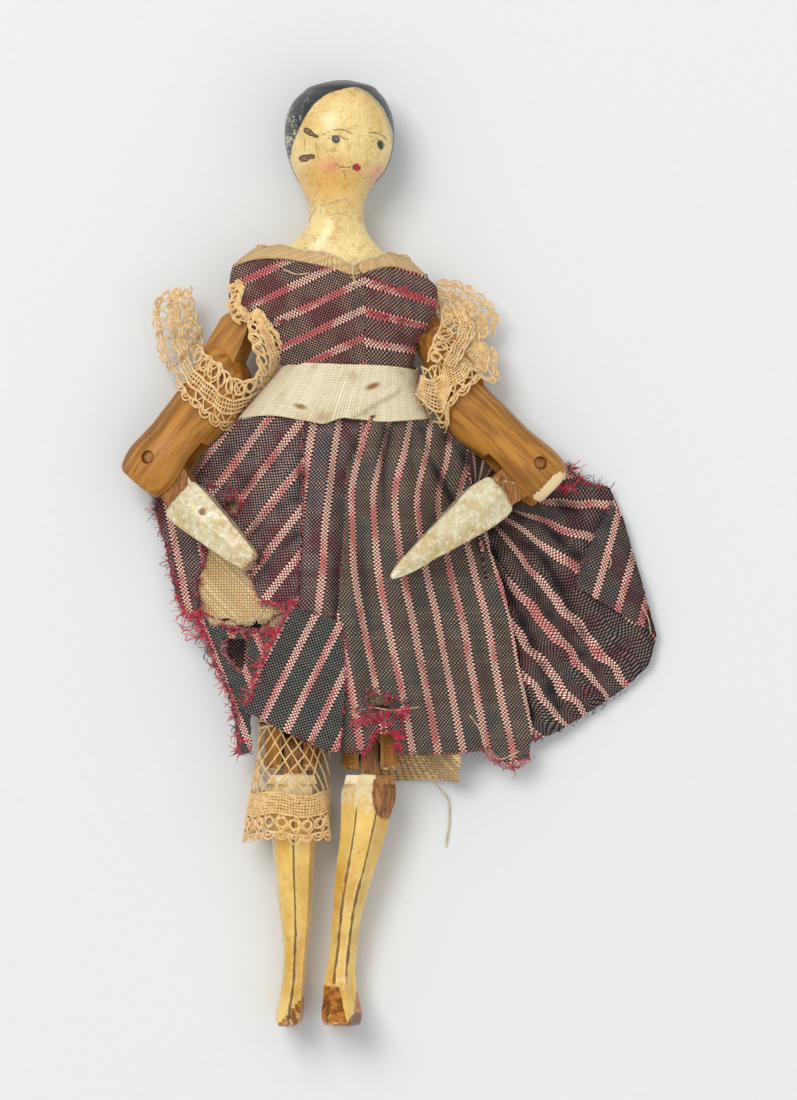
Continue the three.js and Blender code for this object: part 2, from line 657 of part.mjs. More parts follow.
addNode('bodice_front_left', bodicePanel(152, 86), 'stripe');
addNode('bodice_front_right', bodicePanel(84, 28), 'stripe');
addNode('bodice_back', bodicePanel(332, 208), 'stripe');
addNode('neck_tape_left', neckTape(168, 84), 'tape');
addNode('neck_tape_right', neckTape(80, 12), 'tape');
addNode('sash', sash(), 'ribbon');
addNode('sleeve_lace_left', sleeve('left', 9.6, 17.0, 0.8), 'lace');
addNode('sleeve_lace_right', sleeve('right', 11.0, 17.6, 0.9), 'lace');
addNode('lace_tail_left', laceTail(), 'lace');
const leftPanel = skirtPanel(SKIRT_LEFT_EDGE, shifted(SKIRT_MIDDLE, -0.4), SKIRT_LEFT_HEM_Y, 6);
const centrePanel = skirtPanel(shifted(SKIRT_MIDDLE, 0.4), SKIRT_RIGHT_EDGE, SKIRT_HEM_Y, 10);
addNode('skirt_front_left', leftPanel, 'stripe');
addNode('skirt_front_centre', centrePanel, 'stripe');
addNode('skirt_fan_right', skirtFan(), 'stripe');
addNode('skirt_back', skirtBack(), 'stripe');
addNode('skirt_strip_left', skirtStrip(), 'stripe');
addNode('skirt_folded_patch', foldedPatch(), 'stripe');
addNode('petticoat', petticoat(), 'linen');
addNode('drawers_left', drawers('left', -52.8), 'linen');
addNode('drawers_right', drawers('right', -59.8), 'linen');
addNode('lace_cuff_left', laceCuff(), 'lace');

// The origin goes to the middle of the underside of the whole doll.
const extent = new THREE.Box3().setFromObject(doll);
const middle = extent.getCenter(new THREE.Vector3());
for (const mesh of doll.children) {
  mesh.geometry.translate(-middle.x, -middle.y, -extent.min.z);
}

export default doll;
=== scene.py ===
"""Looks for the dressed jointed wooden doll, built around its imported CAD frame.

Shapes are worked out in the doll's own millimetres: x = 0 at the neck, y = 0 at the waist
and z = 0 on the table. `metres` turns them into the frame's metres.
"""
import json
import math
import random

import bpy
import numpy as np
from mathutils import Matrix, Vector


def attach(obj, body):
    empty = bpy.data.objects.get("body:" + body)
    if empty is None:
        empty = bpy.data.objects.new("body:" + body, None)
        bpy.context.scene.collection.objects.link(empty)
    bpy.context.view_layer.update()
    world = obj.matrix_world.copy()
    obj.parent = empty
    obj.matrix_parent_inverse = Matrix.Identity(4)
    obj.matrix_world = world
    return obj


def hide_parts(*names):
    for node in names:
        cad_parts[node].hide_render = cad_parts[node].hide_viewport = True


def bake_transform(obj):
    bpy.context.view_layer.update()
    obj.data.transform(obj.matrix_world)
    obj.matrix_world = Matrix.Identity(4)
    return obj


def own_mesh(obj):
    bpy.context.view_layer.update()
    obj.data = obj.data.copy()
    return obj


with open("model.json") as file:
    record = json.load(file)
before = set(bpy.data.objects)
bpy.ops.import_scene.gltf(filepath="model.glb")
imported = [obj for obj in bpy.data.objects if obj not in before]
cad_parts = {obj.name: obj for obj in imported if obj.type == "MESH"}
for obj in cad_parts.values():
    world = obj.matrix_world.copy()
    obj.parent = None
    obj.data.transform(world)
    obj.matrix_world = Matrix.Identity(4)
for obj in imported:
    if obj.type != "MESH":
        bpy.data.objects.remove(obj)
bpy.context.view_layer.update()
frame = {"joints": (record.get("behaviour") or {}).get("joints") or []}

MM = 0.001
JOINTS = {joint["name"]: joint for joint in frame["joints"]}

# Where the doll's own zero point lies, from two joints whose places on the doll are known.
SHOULDER_LEFT_X = -12.8
HIP_Y = -24.6
ORIGIN = np.array([
    JOINTS["shoulder_left"]["pos_m"][0] - SHOULDER_LEFT_X * MM,
    JOINTS["hip_left"]["pos_m"][1] - HIP_Y * MM,
    0.0,
])

TORSO_Z = 8.8          # height of the body's centre line
KNEE_Y = -57.6
KNEE_Z = 7.2
HIP_Z = 8.2
STRIPE_PITCH = 4.0     # from one stripe of the cotton to the next
THREAD = STRIPE_PITCH / 14
STRIPE_THREADS = 4
CLOTH_THICKNESS = 0.3
THREAD_END = 0.75      # a thread's radius at its ends, as a share of its radius
FRAY_POINTS = 6        # points along each fray

rng = random.Random(7)


# ---- numbers and curves ------------------------------------------------------------

def metres(points):
    return np.asarray(points, float) * MM + ORIGIN


def millimetres(point_m):
    return (np.asarray(point_m, float) - ORIGIN) / MM


def lerp(a, b, t):
    return a + (b - a) * t


def smoothstep(low, high, value):
    t = np.clip((value - low) / (high - low), 0, 1)
    return t * t * (3 - 2 * t)


def curve(rows, at):
    """Smooth value at `at` of a list of (position, value) rows in either order."""
    table = np.array(sorted(rows), float)
    xs, ys = table[:, 0], table[:, 1]
    slopes = np.gradient(ys, xs)
    t = np.clip(np.asarray(at, float), xs[0], xs[-1])
    i = np.clip(np.searchsorted(xs, t) - 1, 0, len(xs) - 2)
    width = xs[i + 1] - xs[i]
    s = (t - xs[i]) / width
    h00 = (1 + 2 * s) * (1 - s) ** 2
    h10 = s * (1 - s) ** 2
    h01 = s * s * (3 - 2 * s)
    h11 = s * s * (s - 1)
    return h00 * ys[i] + h10 * width * slopes[i] + h01 * ys[i + 1] + h11 * width * slopes[i + 1]


def polyline(points, share):
    """Points at shares 0 to 1 of a smooth line's length."""
    points = np.asarray(points, float)
    steps = np.linalg.norm(np.diff(points, axis=0), axis=1)
    at = np.concatenate([[0], np.cumsum(steps)])
    at /= at[-1]
    return np.stack([curve(list(zip(at, points[:, k])), share) for k in range(points.shape[1])], -1)


def wobble(x, y, size, seed=0.0):
    """Smooth wavy value between about -1 and 1."""
    a = np.sin(x / size * 2.1 + seed * 1.7) * np.cos(y / size * 1.7 + seed * 2.3)
    b = np.sin(x / size * 4.7 + y / size * 3.1 + seed * 5.1)
    c = np.cos(x / size * 1.3 - y / size * 5.3 + seed * 3.3)
    return 0.5 * a + 0.3 * b + 0.2 * c


def distance_to(x, y, line, width=0.0):
    """Distance in the x-y plane outside a stroke of some half width along a line."""
    where = np.stack(np.broadcast_arrays(x, y), -1).astype(float)
    best = np.full(where.shape[:-1], 1e3)
    for start, end in zip(line[:-1], line[1:]):
        start, end = np.array(start, float), np.array(end, float)
        along = end - start
        share = np.clip((where - start) @ along / (along @ along), 0, 1)
        best = np.minimum(best, np.linalg.norm(where - start - share[..., None] * along, axis=-1))
    return best - width


def creased(x, y, folds):
    """Depth of folds given as (line of points, depth, half width)."""
    depth = 0.0
    for line, deep, half in folds:
        depth = depth - deep * np.exp(-(distance_to(x, y, line) / half) ** 2)
    return depth


def frame_at(origin, up, front):
    """4x4 frame in millimetres with +Y along up and +Z near front."""
    y = np.asarray(up, float) / np.linalg.norm(up)
    z = np.asarray(front, float) - y * np.dot(front, y)
    z /= np.linalg.norm(z)
    matrix = np.eye(4)
    matrix[:3, 0] = np.cross(y, z)
    matrix[:3, 1] = y
    matrix[:3, 2] = z
    matrix[:3, 3] = origin
    return matrix


def placed(matrix, points):
    points = np.asarray(points, float)
    return points @ matrix[:3, :3].T + matrix[:3, 3]


# ---- meshes ------------------------------------------------------------------------

def add_attribute(mesh, name, values):
    """One number for each point of a mesh, for its material to read."""
    attribute = mesh.attributes.new(name, "FLOAT", "POINT")
    values = np.broadcast_to(np.asarray(values, np.float32), len(mesh.vertices))
    attribute.data.foreach_set("value", values.copy())


def doll_points(mesh):
    """A mesh's points in doll millimetres."""
    co = np.zeros(len(mesh.vertices) * 3)
    mesh.vertices.foreach_get("co", co)
    return millimetres(co.reshape(-1, 3))


def make_object(name, points, faces, material, uv=None, crease=35, attributes=None):
    """Mesh object from points in doll millimetres, with a UV of fabric millimetres."""
    mesh = bpy.data.meshes.new(name)
    mesh.from_pydata(metres(points).tolist(), [], [list(map(int, face)) for face in faces])
    mesh.validate()
    mesh.polygons.foreach_set("use_smooth", [True] * len(mesh.polygons))
    if uv is not None:
        layer = mesh.uv_layers.new(name="cloth")
        index = np.zeros(len(mesh.loops), int)
        mesh.loops.foreach_get("vertex_index", index)
        layer.data.foreach_set("uv", np.asarray(uv, float)[index].astype(np.float32).ravel())
    for key, values in (attributes or {}).items():
        add_attribute(mesh, key, values)
    mesh.set_sharp_from_angle(angle=math.radians(crease))
    obj = bpy.data.objects.new(name, mesh)
    bpy.context.scene.collection.objects.link(obj)
    mesh.materials.append(material)
    return obj


def settle(obj, body, *nodes, slot=None):
    """Rides obj on a body and lets it stand for CAD nodes, which it hides; slot is not used."""
    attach(obj, body)
    if nodes:
        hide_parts(*nodes)
    return obj


def grid_shell(points, uv, keep=None, thickness=CLOTH_THICKNESS, wrap=False):
    """Points, faces and UVs of a closed shell of cloth over a grid of points [row, column, xyz]."""
    rows, columns = points.shape[:2]
    across = columns if wrap else columns - 1
    if keep is None:
        keep = np.ones((rows - 1, across), bool)
    du = np.roll(points, -1, 1) - np.roll(points, 1, 1) if wrap else np.gradient(points, axis=1)
    dv = np.gradient(points, axis=0)
    normal = np.cross(dv, du)
    normal /= np.maximum(np.linalg.norm(normal, axis=2, keepdims=True), 1e-9)
    top = points + normal * thickness / 2
    bottom = points - normal * thickness / 2
    number = np.arange(rows * columns).reshape(rows, columns)
    shift = rows * columns
    faces = []
    rim = {}
    for j, i in zip(*np.nonzero(keep)):
        k = (i + 1) % columns
        a, b, c, d = number[j, i], number[j, k], number[j + 1, k], number[j + 1, i]
        faces.append((a, d, c, b))
        faces.append((a + shift, b + shift, c + shift, d + shift))
        for p, q in ((a, b), (b, c), (c, d), (d, a)):
            if (q, p) in rim:
                del rim[(q, p)]
            else:
                rim[(p, q)] = True
    for p, q in rim:
        faces.append((p, q, q + shift, p + shift))
    verts = np.concatenate([top.reshape(-1, 3), bottom.reshape(-1, 3)])
    uvs = np.concatenate([uv.reshape(-1, 2)] * 2)
    used = np.unique(np.array([v for face in faces for v in face]))
    renumber = np.full(len(verts), -1)
    renumber[used] = np.arange(len(used))
    faces = [tuple(renumber[v] for v in face) for face in faces]
    return verts[used], faces, uvs[used]


def tube(line, radius, sides=5):
    """Points and faces of a thin closed thread along a line of points."""
    line = np.asarray(line, float)
    count = len(line)
    tangent = np.gradient(line, axis=0)
    tangent /= np.maximum(np.linalg.norm(tangent, axis=1, keepdims=True), 1e-9)
    side = np.cross(tangent, (0.13, 0.21, 0.97))
    side /= np.maximum(np.linalg.norm(side, axis=1, keepdims=True), 1e-9)
    other = np.cross(tangent, side)
    ring = [(math.cos(2 * math.pi * k / sides), math.sin(2 * math.pi * k / sides)) for k in range(sides)]
    verts, faces = [], []
    for k in range(count):
        size = radius * (THREAD_END if k in (0, count - 1) else 1.0)
        for c, s in ring:
            verts.append(line[k] + side[k] * c * size + other[k] * s * size)
    for k in range(count - 1):
        for m in range(sides):
            a = k * sides + m
            b = k * sides + (m + 1) % sides
            faces.append((a, b, b + sides, a + sides))
    faces.append(tuple(reversed(range(sides))))
    faces.append(tuple((count - 1) * sides + m for m in range(sides)))
    return np.array(verts), faces


def thread_mesh(lines):
    """Points and faces of many threads, given as (line, radius), and how many faces each has."""
    verts, faces, counts = [], [], []
    start = 0
    for line, radius in lines:
        points, quads = tube(line, radius)
        verts.append(points)
        faces += [tuple(v + start for v in face) for face in quads]
        counts.append(len(quads))
        start += len(points)
    return np.concatenate(verts), faces, counts


def loft(stations, sides=40, facets=0, turn=0.0, step=1.0):
    """Points, faces and UVs of a solid along +Y through sections (at, width, depth, x, z, roundness).

    With facets, the section has that many flat sides."""
    table = np.array([tuple(s) + (0.0, 0.0, 1.0)[len(s) - 3:] for s in stations], float)
    order = np.argsort(table[:, 0])
    table = table[order]
    steps = max(2, int((table[-1, 0] - table[0, 0]) / step))
    at = np.unique(np.concatenate([np.linspace(table[0, 0], table[-1, 0], steps), table[:, 0]]))
    width, depth, x, z, roundness = [curve(list(zip(table[:, 0], table[:, k])), at) for k in range(1, 6)]
    corner = 2 * np.pi * np.arange(sides) / sides
    angle = corner + turn
    reach = np.ones(sides)
    if facets:
        half = np.pi / facets
        off_corner = np.abs(np.mod(corner + half, 2 * half) - half)
        reach = math.cos(half) / np.cos(half - off_corner)
    c, s = np.cos(angle), np.sin(angle)
    points, rows = [], len(at)
    for k in range(rows):
        px = width[k] * np.sign(c) * np.abs(c) ** roundness[k] * reach
        pz = depth[k] * np.sign(s) * np.abs(s) ** roundness[k] * reach
        points.append(np.stack([x[k] + px, np.full(sides, at[k]), z[k] + pz], -1))
    points = np.concatenate(points)
    faces = []
    for k in range(rows - 1):
        for m in range(sides):
            a, b = k * sides + m, k * sides + (m + 1) % sides
            faces.append((a, a + sides, b + sides, b))
    faces.append(tuple(range(sides)))
    faces.append(tuple((rows - 1) * sides + m for m in reversed(range(sides))))
    around = np.tile(angle * 4.5, rows)
    uv = np.stack([around, points[:, 1]], -1)
    return points, faces, uv


def cut(obj, *tools):
    """Subtracts solids from obj and deletes them."""
    combine(obj, tools, "DIFFERENCE")


def join_solids(obj, *others):
    """Adds solids to obj and deletes them."""
    combine(obj, others, "UNION")


def combine(obj, helpers, operation):
    """Works the helper solids into obj's mesh by a boolean operation, and deletes them."""
    for helper in helpers:
        modifier = obj.modifiers.new("boolean", "BOOLEAN")
        modifier.object = helper
        modifier.operation = operation
        modifier.solver = "EXACT"
    graph = bpy.context.evaluated_depsgraph_get()
    mesh = bpy.data.meshes.new_from_object(obj.evaluated_get(graph))
    obj.modifiers.clear()
    obj.data = mesh
    for helper in helpers:
        bpy.data.objects.remove(helper)
    mesh.set_sharp_from_angle(angle=math.radians(35))


# ---- materials ---------------------------------------------------------------------

def colour(red, green, blue):
    """Linear colour of an 8-bit screen colour."""
    def linear(value):
        value /= 255
        return value / 12.92 if value <= 0.04045 else ((value + 0.055) / 1.055) ** 2.4
    return (linear(red), linear(green), linear(blue), 1.0)


class Graph:
    """One material, and the nodes that make its look."""

    def __init__(self, name, roughness=0.5, sheen=0.0, coat=0.0, specular=0.5):
        self.material = bpy.data.materials.new(name)
        self.material.use_nodes = True
        self.tree = self.material.node_tree
        self.shader = self.tree.nodes["Principled BSDF"]
        self.shader.inputs["Roughness"].default_value = roughness
        self.shader.inputs["Sheen Weight"].default_value = sheen
        self.shader.inputs["Coat Weight"].default_value = coat
        self.shader.inputs["Coat Roughness"].default_value = 0.26
        self.shader.inputs["Specular IOR Level"].default_value = specular

    def node(self, kind, values=(), **settings):
        node = self.tree.nodes.new("ShaderNode" + kind)
        for key, value in settings.items():
            setattr(node, key, value)
        for key, value in dict(values).items():
            self.put(value, node.inputs[key])
        return node

    def put(self, value, socket):
        if isinstance(value, bpy.types.NodeSocket):
            self.tree.links.new(value, socket)
        else:
            socket.default_value = value

    def math(self, operation, *values):
        return self.node("Math", enumerate(values), operation=operation).outputs[0]

    def mix(self, factor, a, b, blend="MIX"):
        node = self.node("Mix", {0: factor, 6: a, 7: b}, data_type="RGBA", blend_type=blend)
        return node.outputs[2]

    def over(self, base, mask, rgb, amount=1.0):
        """The base with a screen colour over it by mask times amount."""
        if amount != 1.0:
            mask = self.math("MULTIPLY", mask, amount)
        return self.mix(mask, base, colour(*rgb))

    def step(self, value, low, high):
        """0 below low, 1 above high and smooth between."""
        node = self.node("MapRange", {0: value, 1: low, 2: high}, interpolation_type="SMOOTHSTEP")
        return node.outputs[0]

    def place(self):
        """Position on the piece in millimetres."""
        where = self.node("TexCoord").outputs["Object"]
        return self.node("VectorMath", {0: where, "Scale": 1000.0}, operation="SCALE").outputs[0]

    def cloth(self):
        return self.node("UVMap", uv_map="cloth").outputs[0]

    def stretched(self, vector, x, y, z=1.0):
        return self.node("VectorMath", {0: vector, 1: (x, y, z)}, operation="MULTIPLY").outputs[0]

    def noise(self, vector, scale, detail=3.0, roughness=0.55):
        values = {"Vector": vector, "Scale": scale, "Detail": detail, "Roughness": roughness}
        return self.node("TexNoise", values).outputs[0]

    def chance(self, value):
        """Random number from 0 to 1 for each whole number."""
        node = self.node("TexWhiteNoise", noise_dimensions="1D")
        self.put(value, node.inputs["W"])
        return node.outputs[0]

    def attribute(self, name):
        return self.node("Attribute", attribute_name=name).outputs["Fac"]

    def bump(self, height, millimetres_high, strength=1.0, below=None):
        values = {"Height": height, "Distance": millimetres_high * MM, "Strength": strength}
        if below is not None:
            values["Normal"] = below
        return self.node("Bump", values).outputs[0]

    def done(self, base, normal=None, roughness=None):
        self.put(base, self.shader.inputs["Base Color"])
        if normal is not None:
            self.put(normal, self.shader.inputs["Normal"])
        if roughness is not None:
            self.put(roughness, self.shader.inputs["Roughness"])
        return self.material


def plain_weave(g, pitch):
    """Plain weave of the cloth's UV: thread numbers, which thread is on top, and its height."""
    where = g.node("SeparateXYZ", {0: g.cloth()})
    drift = g.noise(g.stretched(g.cloth(), 0.5, 0.09), 1.0, 2.0)
    across = g.math("MULTIPLY_ADD", drift, 0.5, where.outputs[0])
    drift = g.noise(g.stretched(g.cloth(), 0.09, 0.5), 1.0, 2.0)
    along = g.math("MULTIPLY_ADD", drift, 0.5, where.outputs[1])
    u = g.math("DIVIDE", across, pitch)
    v = g.math("DIVIDE", along, pitch)
    warp_number = g.math("FLOOR", u)
    weft_number = g.math("FLOOR", v)
    total = g.math("ADD", warp_number, weft_number)
    warp_on_top = g.math("FLOORED_MODULO", total, 2.0)
    off_u = g.math("SUBTRACT", g.math("FRACT", u), 0.5)
    off_v = g.math("SUBTRACT", g.math("FRACT", v), 0.5)
    square_u = g.math("MULTIPLY", off_u, off_u)
    square_v = g.math("MULTIPLY", off_v, off_v)
    reach = g.math("ADD", square_u, square_v)
    height = g.math("SUBTRACT", 1.0, g.math("MULTIPLY", reach, 1.9))
    return warp_number, weft_number, warp_on_top, height


def striped_cotton(name, weft=(180, 150, 142), warp=(24, 20, 26), tint=(132, 42, 66), tinted=0.65,
                   fade=0.12, red=0.6):
    """Dark plain-woven cotton with a cream and crimson stripe every STRIPE_PITCH.

    tinted, fade and red say how strongly the tint, the dust and the stripe's crimson show."""
    g = Graph(name, roughness=0.9, sheen=0.04, specular=0.15)
    warp_number, weft_number, warp_on_top, height = plain_weave(g, THREAD)
    cloth = g.cloth()
    wide = g.noise(cloth, 0.14, 3.0)
    weft_colour = g.mix(g.chance(weft_number), colour(*weft), g.mix(0.35, colour(*weft), colour(60, 54, 54)))
    reddened = g.math("MULTIPLY", g.step(wide, 0.46, 0.62), tinted)
    weft_colour = g.over(weft_colour, reddened, tint)
    weft_colour = g.over(weft_colour, g.step(wide, 0.46, 0.36), (96, 108, 106), 0.45)
    warp_colour = g.mix(g.chance(warp_number), colour(*warp), colour(14, 30, 32))
    warp_colour = g.over(warp_colour, reddened, (58, 14, 30), 0.5)
    middle = g.math("MULTIPLY", g.math("ADD", warp_number, 0.5), THREAD)
    beside = g.math("ABSOLUTE", g.math("WRAP", middle, STRIPE_PITCH / 2, -STRIPE_PITCH / 2))
    stripe = g.math("LESS_THAN", beside, STRIPE_THREADS / 2 * THREAD)
    red_run = g.step(g.noise(g.stretched(cloth, 0.3, 0.12), 1.0, 2.0), 0.62 - 0.2 * red, 0.72 - 0.2 * red)
    stripe_warp = g.mix(g.math("MULTIPLY", red_run, red), colour(252, 228, 202), colour(214, 96, 100))
    stripe_weft = g.mix(g.chance(weft_number), colour(118, 14, 34), colour(168, 52, 60))
    warp_colour = g.mix(stripe, warp_colour, stripe_warp)
    weft_colour = g.mix(stripe, weft_colour, stripe_weft)
    base = g.mix(warp_on_top, weft_colour, warp_colour)
    # Painted shade: darker where a thread dips below its neighbours, in the gaps of the weave.
    thread_gap_shade = g.step(height, 0.8, 0.25)
    base = g.mix(thread_gap_shade, base, g.mix(0.8, base, colour(14, 10, 12)))
    dust = g.step(g.noise(cloth, 0.8, 5.0, 0.7), 0.45, 0.9)
    base = g.over(base, dust, (150, 138, 130), fade)
    # Painted shade in the valleys of the folds and painted light on their ridges, read from the hollow
    # attribute.
    hollow = g.attribute("hollow")
    painted_fold_shade = g.math("MULTIPLY", g.step(hollow, 0.1, 1.3), 0.8)
    base = g.mix(painted_fold_shade, base, colour(112, 122, 128), "MULTIPLY")
    painted_ridge_light = g.math("MULTIPLY", g.step(hollow, -0.05, -0.5), 0.22)
    base = g.mix(painted_ridge_light, base, colour(255, 240, 232), "SOFT_LIGHT")
    fuzz = g.noise(cloth, 6.0, 4.0, 0.7)
    normal = g.bump(fuzz, 0.12, 0.6, below=g.bump(height, 0.1, 1.0))
    return g.done(base, normal)


def ribbon_silk(name):
    """Old cream ribbon, fine ribbed weave, with brown stains."""
    g = Graph(name, roughness=0.62, sheen=0.2, specular=0.35)
    _, weft_number, _, height = plain_weave(g, 0.3)
    cloth = g.cloth()
    base = g.mix(g.chance(weft_number), colour(228, 214, 178), colour(240, 230, 200))
    # Painted shade where a thread dips below its neighbours.
    base = g.over(base, g.step(height, 0.75, 0.3), (176, 154, 112))
    soil = g.step(g.noise(cloth, 0.16, 5.0, 0.6), 0.48, 0.75)
    base = g.mix(soil, base, colour(206, 186, 148), "MULTIPLY")
    stain = g.step(g.attribute("stain"), 0.35, -0.15)
    base = g.over(base, stain, (150, 106, 56))
    creases = g.noise(g.stretched(cloth, 0.5, 0.2), 1.0, 4.0)
    normal = g.bump(creases, 0.5, 0.5, below=g.bump(height, 0.08, 0.9))
    return g.done(base, normal)


def tan_weave(name, pitch, light, dark, thin=0.2):
    """Undyed linen or cotton tape yellowed with age."""
    g = Graph(name, roughness=0.92, sheen=0.15, specular=0.2)
    warp_number, weft_number, _, height = plain_weave(g, pitch)
    cloth = g.cloth()
    base = g.mix(g.chance(g.math("ADD", warp_number, weft_number)), colour(*light), colour(*dark))
    # Painted shade where a thread dips below its neighbours, full below the height thin.
    base = g.over(base, g.step(height, 0.7, thin), (110, 74, 38))
    soil = g.step(g.noise(cloth, 0.3, 4.0), 0.4, 0.8)
    base = g.mix(soil, base, g.mix(0.5, base, colour(160, 116, 66)))
    normal = g.bump(g.noise(cloth, 4.0, 3.0), 0.15, 0.5, below=g.bump(height, 0.1, 1.0))
    return g.done(base, normal)


def thread_material(name, light, dark):
    """Loose twisted cotton thread."""
    g = Graph(name, roughness=0.9, sheen=0.4, specular=0.2)
    place = g.place()
    base = g.mix(g.step(g.noise(place, 1.3, 3.0), 0.35, 0.65), colour(*light), colour(*dark))
    normal = g.bump(g.noise(place, 14.0, 2.0), 0.06, 0.7)
    return g.done(base, normal)


def bare_wood(name, light=(186, 128, 50), dark=(138, 86, 30)):
    """Turned softwood darkened with age; the grain runs along the grain attribute's Y."""
    g = Graph(name, roughness=0.5, coat=0.08, specular=0.3)
    grain_at = g.node("Attribute", attribute_name="grain").outputs["Vector"]
    wide = g.noise(g.stretched(grain_at, 0.9, 0.07, 0.9), 1.0, 4.0, 0.6)
    fine = g.noise(g.stretched(grain_at, 7.0, 0.35, 7.0), 1.0, 3.0, 0.6)
    blotch = g.noise(g.place(), 0.22, 3.0)
    base = g.mix(g.step(wide, 0.36, 0.66), colour(*light), colour(*dark))
    base = g.mix(g.step(blotch, 0.5, 0.78), base, g.mix(0.4, base, colour(120, 72, 28)))
    base = g.mix(g.step(fine, 0.6, 0.78), base, g.mix(0.4, base, colour(104, 60, 26)))
    dirt = g.step(g.attribute("dirt"), 0.5, 1.0)
    base = g.over(base, dirt, (84, 48, 22))
    left = g.math("MULTIPLY_ADD", g.noise(g.place(), 1.6, 4.0), -0.9, g.attribute("cream"))
    base = g.over(base, g.step(left, 0.0, 0.06), (226, 203, 156))
    normal = g.bump(fine, 0.07, 0.6, below=g.bump(wide, 0.12, 0.5))
    rough = g.math("MULTIPLY_ADD", fine, 0.3, 0.36)
    return g.done(base, normal, rough)


def old_paint(name, light, dark, chip=0.66, crackle=0.35, coat=0.55):
    """Old glossy paint over wood: crazed, rubbed, dirty in the hollows and chipped to wood.

    The piece's `bare` attribute is 0 where paint holds and rises to 1 where it has gone."""
    g = Graph(name, roughness=0.32, coat=coat)
    place = g.place()
    broad = g.noise(place, 0.16, 4.0)
    mottle = g.noise(place, 1.2, 5.0, 0.65)
    base = g.mix(g.step(broad, 0.35, 0.7), colour(*light), colour(*dark))
    base = g.over(base, g.step(mottle, 0.5, 0.8), (244, 230, 190), 0.35)
    bent = g.node("VectorMath", {0: place, 1: g.node("TexNoise", {"Vector": place, "Scale": 0.9}).outputs[1]})
    cells = g.node("TexVoronoi", {"Vector": g.stretched(bent.outputs[0], 0.55, 0.32, 0.55), "Scale": 1.0},
                   feature="DISTANCE_TO_EDGE").outputs[0]
    cracks = g.math("MULTIPLY", g.step(cells, 0.018, 0.0), g.step(g.noise(place, 0.35, 2.0), 0.46, 0.66))
    base = g.over(base, cracks, (128, 88, 42), crackle)
    stain = g.step(g.noise(place, 0.75, 6.0, 0.75), 0.56, 0.78)
    base = g.over(base, stain, (196, 146, 66), 0.55)
    pinhole = g.step(g.noise(g.stretched(place, 1.0, 0.6, 1.0), 4.2, 2.0), 0.71, 0.75)
    base = g.over(base, pinhole, (132, 88, 42), 0.7)
    soil = g.step(g.attribute("dirt"), 0.2, 1.0)
    base = g.over(base, soil, (150, 104, 52), 0.7)
    ragged = g.math("MULTIPLY_ADD", g.noise(place, 1.5, 6.0, 0.7), 0.6, g.attribute("bare"))
    bare = g.step(ragged, chip + 0.2, chip + 0.25)
    rim = g.math("SUBTRACT", g.step(ragged, chip + 0.13, chip + 0.19), bare)
    grain = g.noise(g.stretched(place, 3.0, 0.4, 3.0), 1.0, 3.0)
    wood = g.mix(g.step(grain, 0.35, 0.65), colour(168, 110, 46), colour(110, 66, 26))
    base = g.over(base, rim, (176, 120, 56), 0.6)
    base = g.mix(bare, base, wood)
    speck = g.step(g.noise(place, 3.2, 3.0, 0.6), 0.68, 0.74)
    base = g.over(base, speck, (132, 90, 48), 0.5)
    height = g.math("MULTIPLY_ADD", bare, -1.0, g.math("MULTIPLY", mottle, 0.35))
    height = g.math("MULTIPLY_ADD", cracks, -0.4, height)
    normal = g.bump(height, 0.12, 0.8)
    rough = g.math("MULTIPLY_ADD", bare, 0.4, g.math("MULTIPLY_ADD", mottle, 0.3, 0.18))
    return g, base, normal, rough


def leg_paint(name):
    """Old yellow-cream paint of the lower legs, with orange slippers."""
    g, base, normal, rough = old_paint(name, (236, 198, 104), (212, 164, 66), coat=0.3)
    place = g.place()
    holds = g.step(g.attribute("bare"), 0.6, 0.4)
    # Paler paint where the pale marks say: rubbed along the edges and below the knee, and a painted highlight
    # beside each ridge.
    wear = g.math("MULTIPLY_ADD", g.attribute("worn"), 0.5, g.noise(place, 1.1, 6.0, 0.75))
    worn = g.math("MULTIPLY", g.step(wear, 0.78, 0.92), 0.75)
    base = g.over(base, g.math("MULTIPLY", worn, holds), (224, 210, 176))
    edge = g.math("MULTIPLY_ADD", g.noise(place, 1.0, 4.0), 0.9, g.attribute("slipper"))
    shoe = g.step(edge, 0.85, 1.05)
    streaks = g.noise(g.stretched(place, 1.0, 0.45), 0.7, 5.0)
    orange = g.mix(g.step(streaks, 0.42, 0.62), colour(190, 120, 44), colour(112, 62, 24))
    orange = g.mix(g.step(g.noise(place, 0.8, 4.0), 0.58, 0.66), orange, colour(214, 174, 100))
    base = g.mix(shoe, base, orange)
    crack = g.step(g.math("MULTIPLY_ADD", g.noise(place, 2.4, 3.0), -0.35, g.attribute("ridge")), 0.32, 0.5)
    base = g.over(base, crack, (88, 52, 24), 0.85)
    return g.done(base, normal, rough)


def hand_paint(name):
    """White ground showing through thin cream paint, ochre along the edges."""
    g, base, normal, rough = old_paint(name, (212, 200, 160), (192, 166, 108), chip=0.6, coat=0.2)
    place = g.place()
    holds = g.step(g.attribute("bare"), 1.0, 0.8)
    fleck = g.step(g.noise(place, 0.9, 6.0, 0.7), 0.46, 0.6)
    base = g.over(base, g.math("MULTIPLY", g.math("MULTIPLY", fleck, 0.6), holds), (232, 228, 206))
    tired = g.step(g.noise(g.stretched(place, 1.0, 0.5), 0.9, 6.0, 0.7), 0.56, 0.66)
    base = g.over(base, g.math("MULTIPLY", g.math("MULTIPLY", tired, 0.75), holds), (184, 142, 74))
    pit = g.step(g.noise(place, 3.4, 3.0, 0.6), 0.64, 0.7)
    base = g.over(base, pit, (116, 88, 48), 0.7)
    return g.done(base, normal, rough)


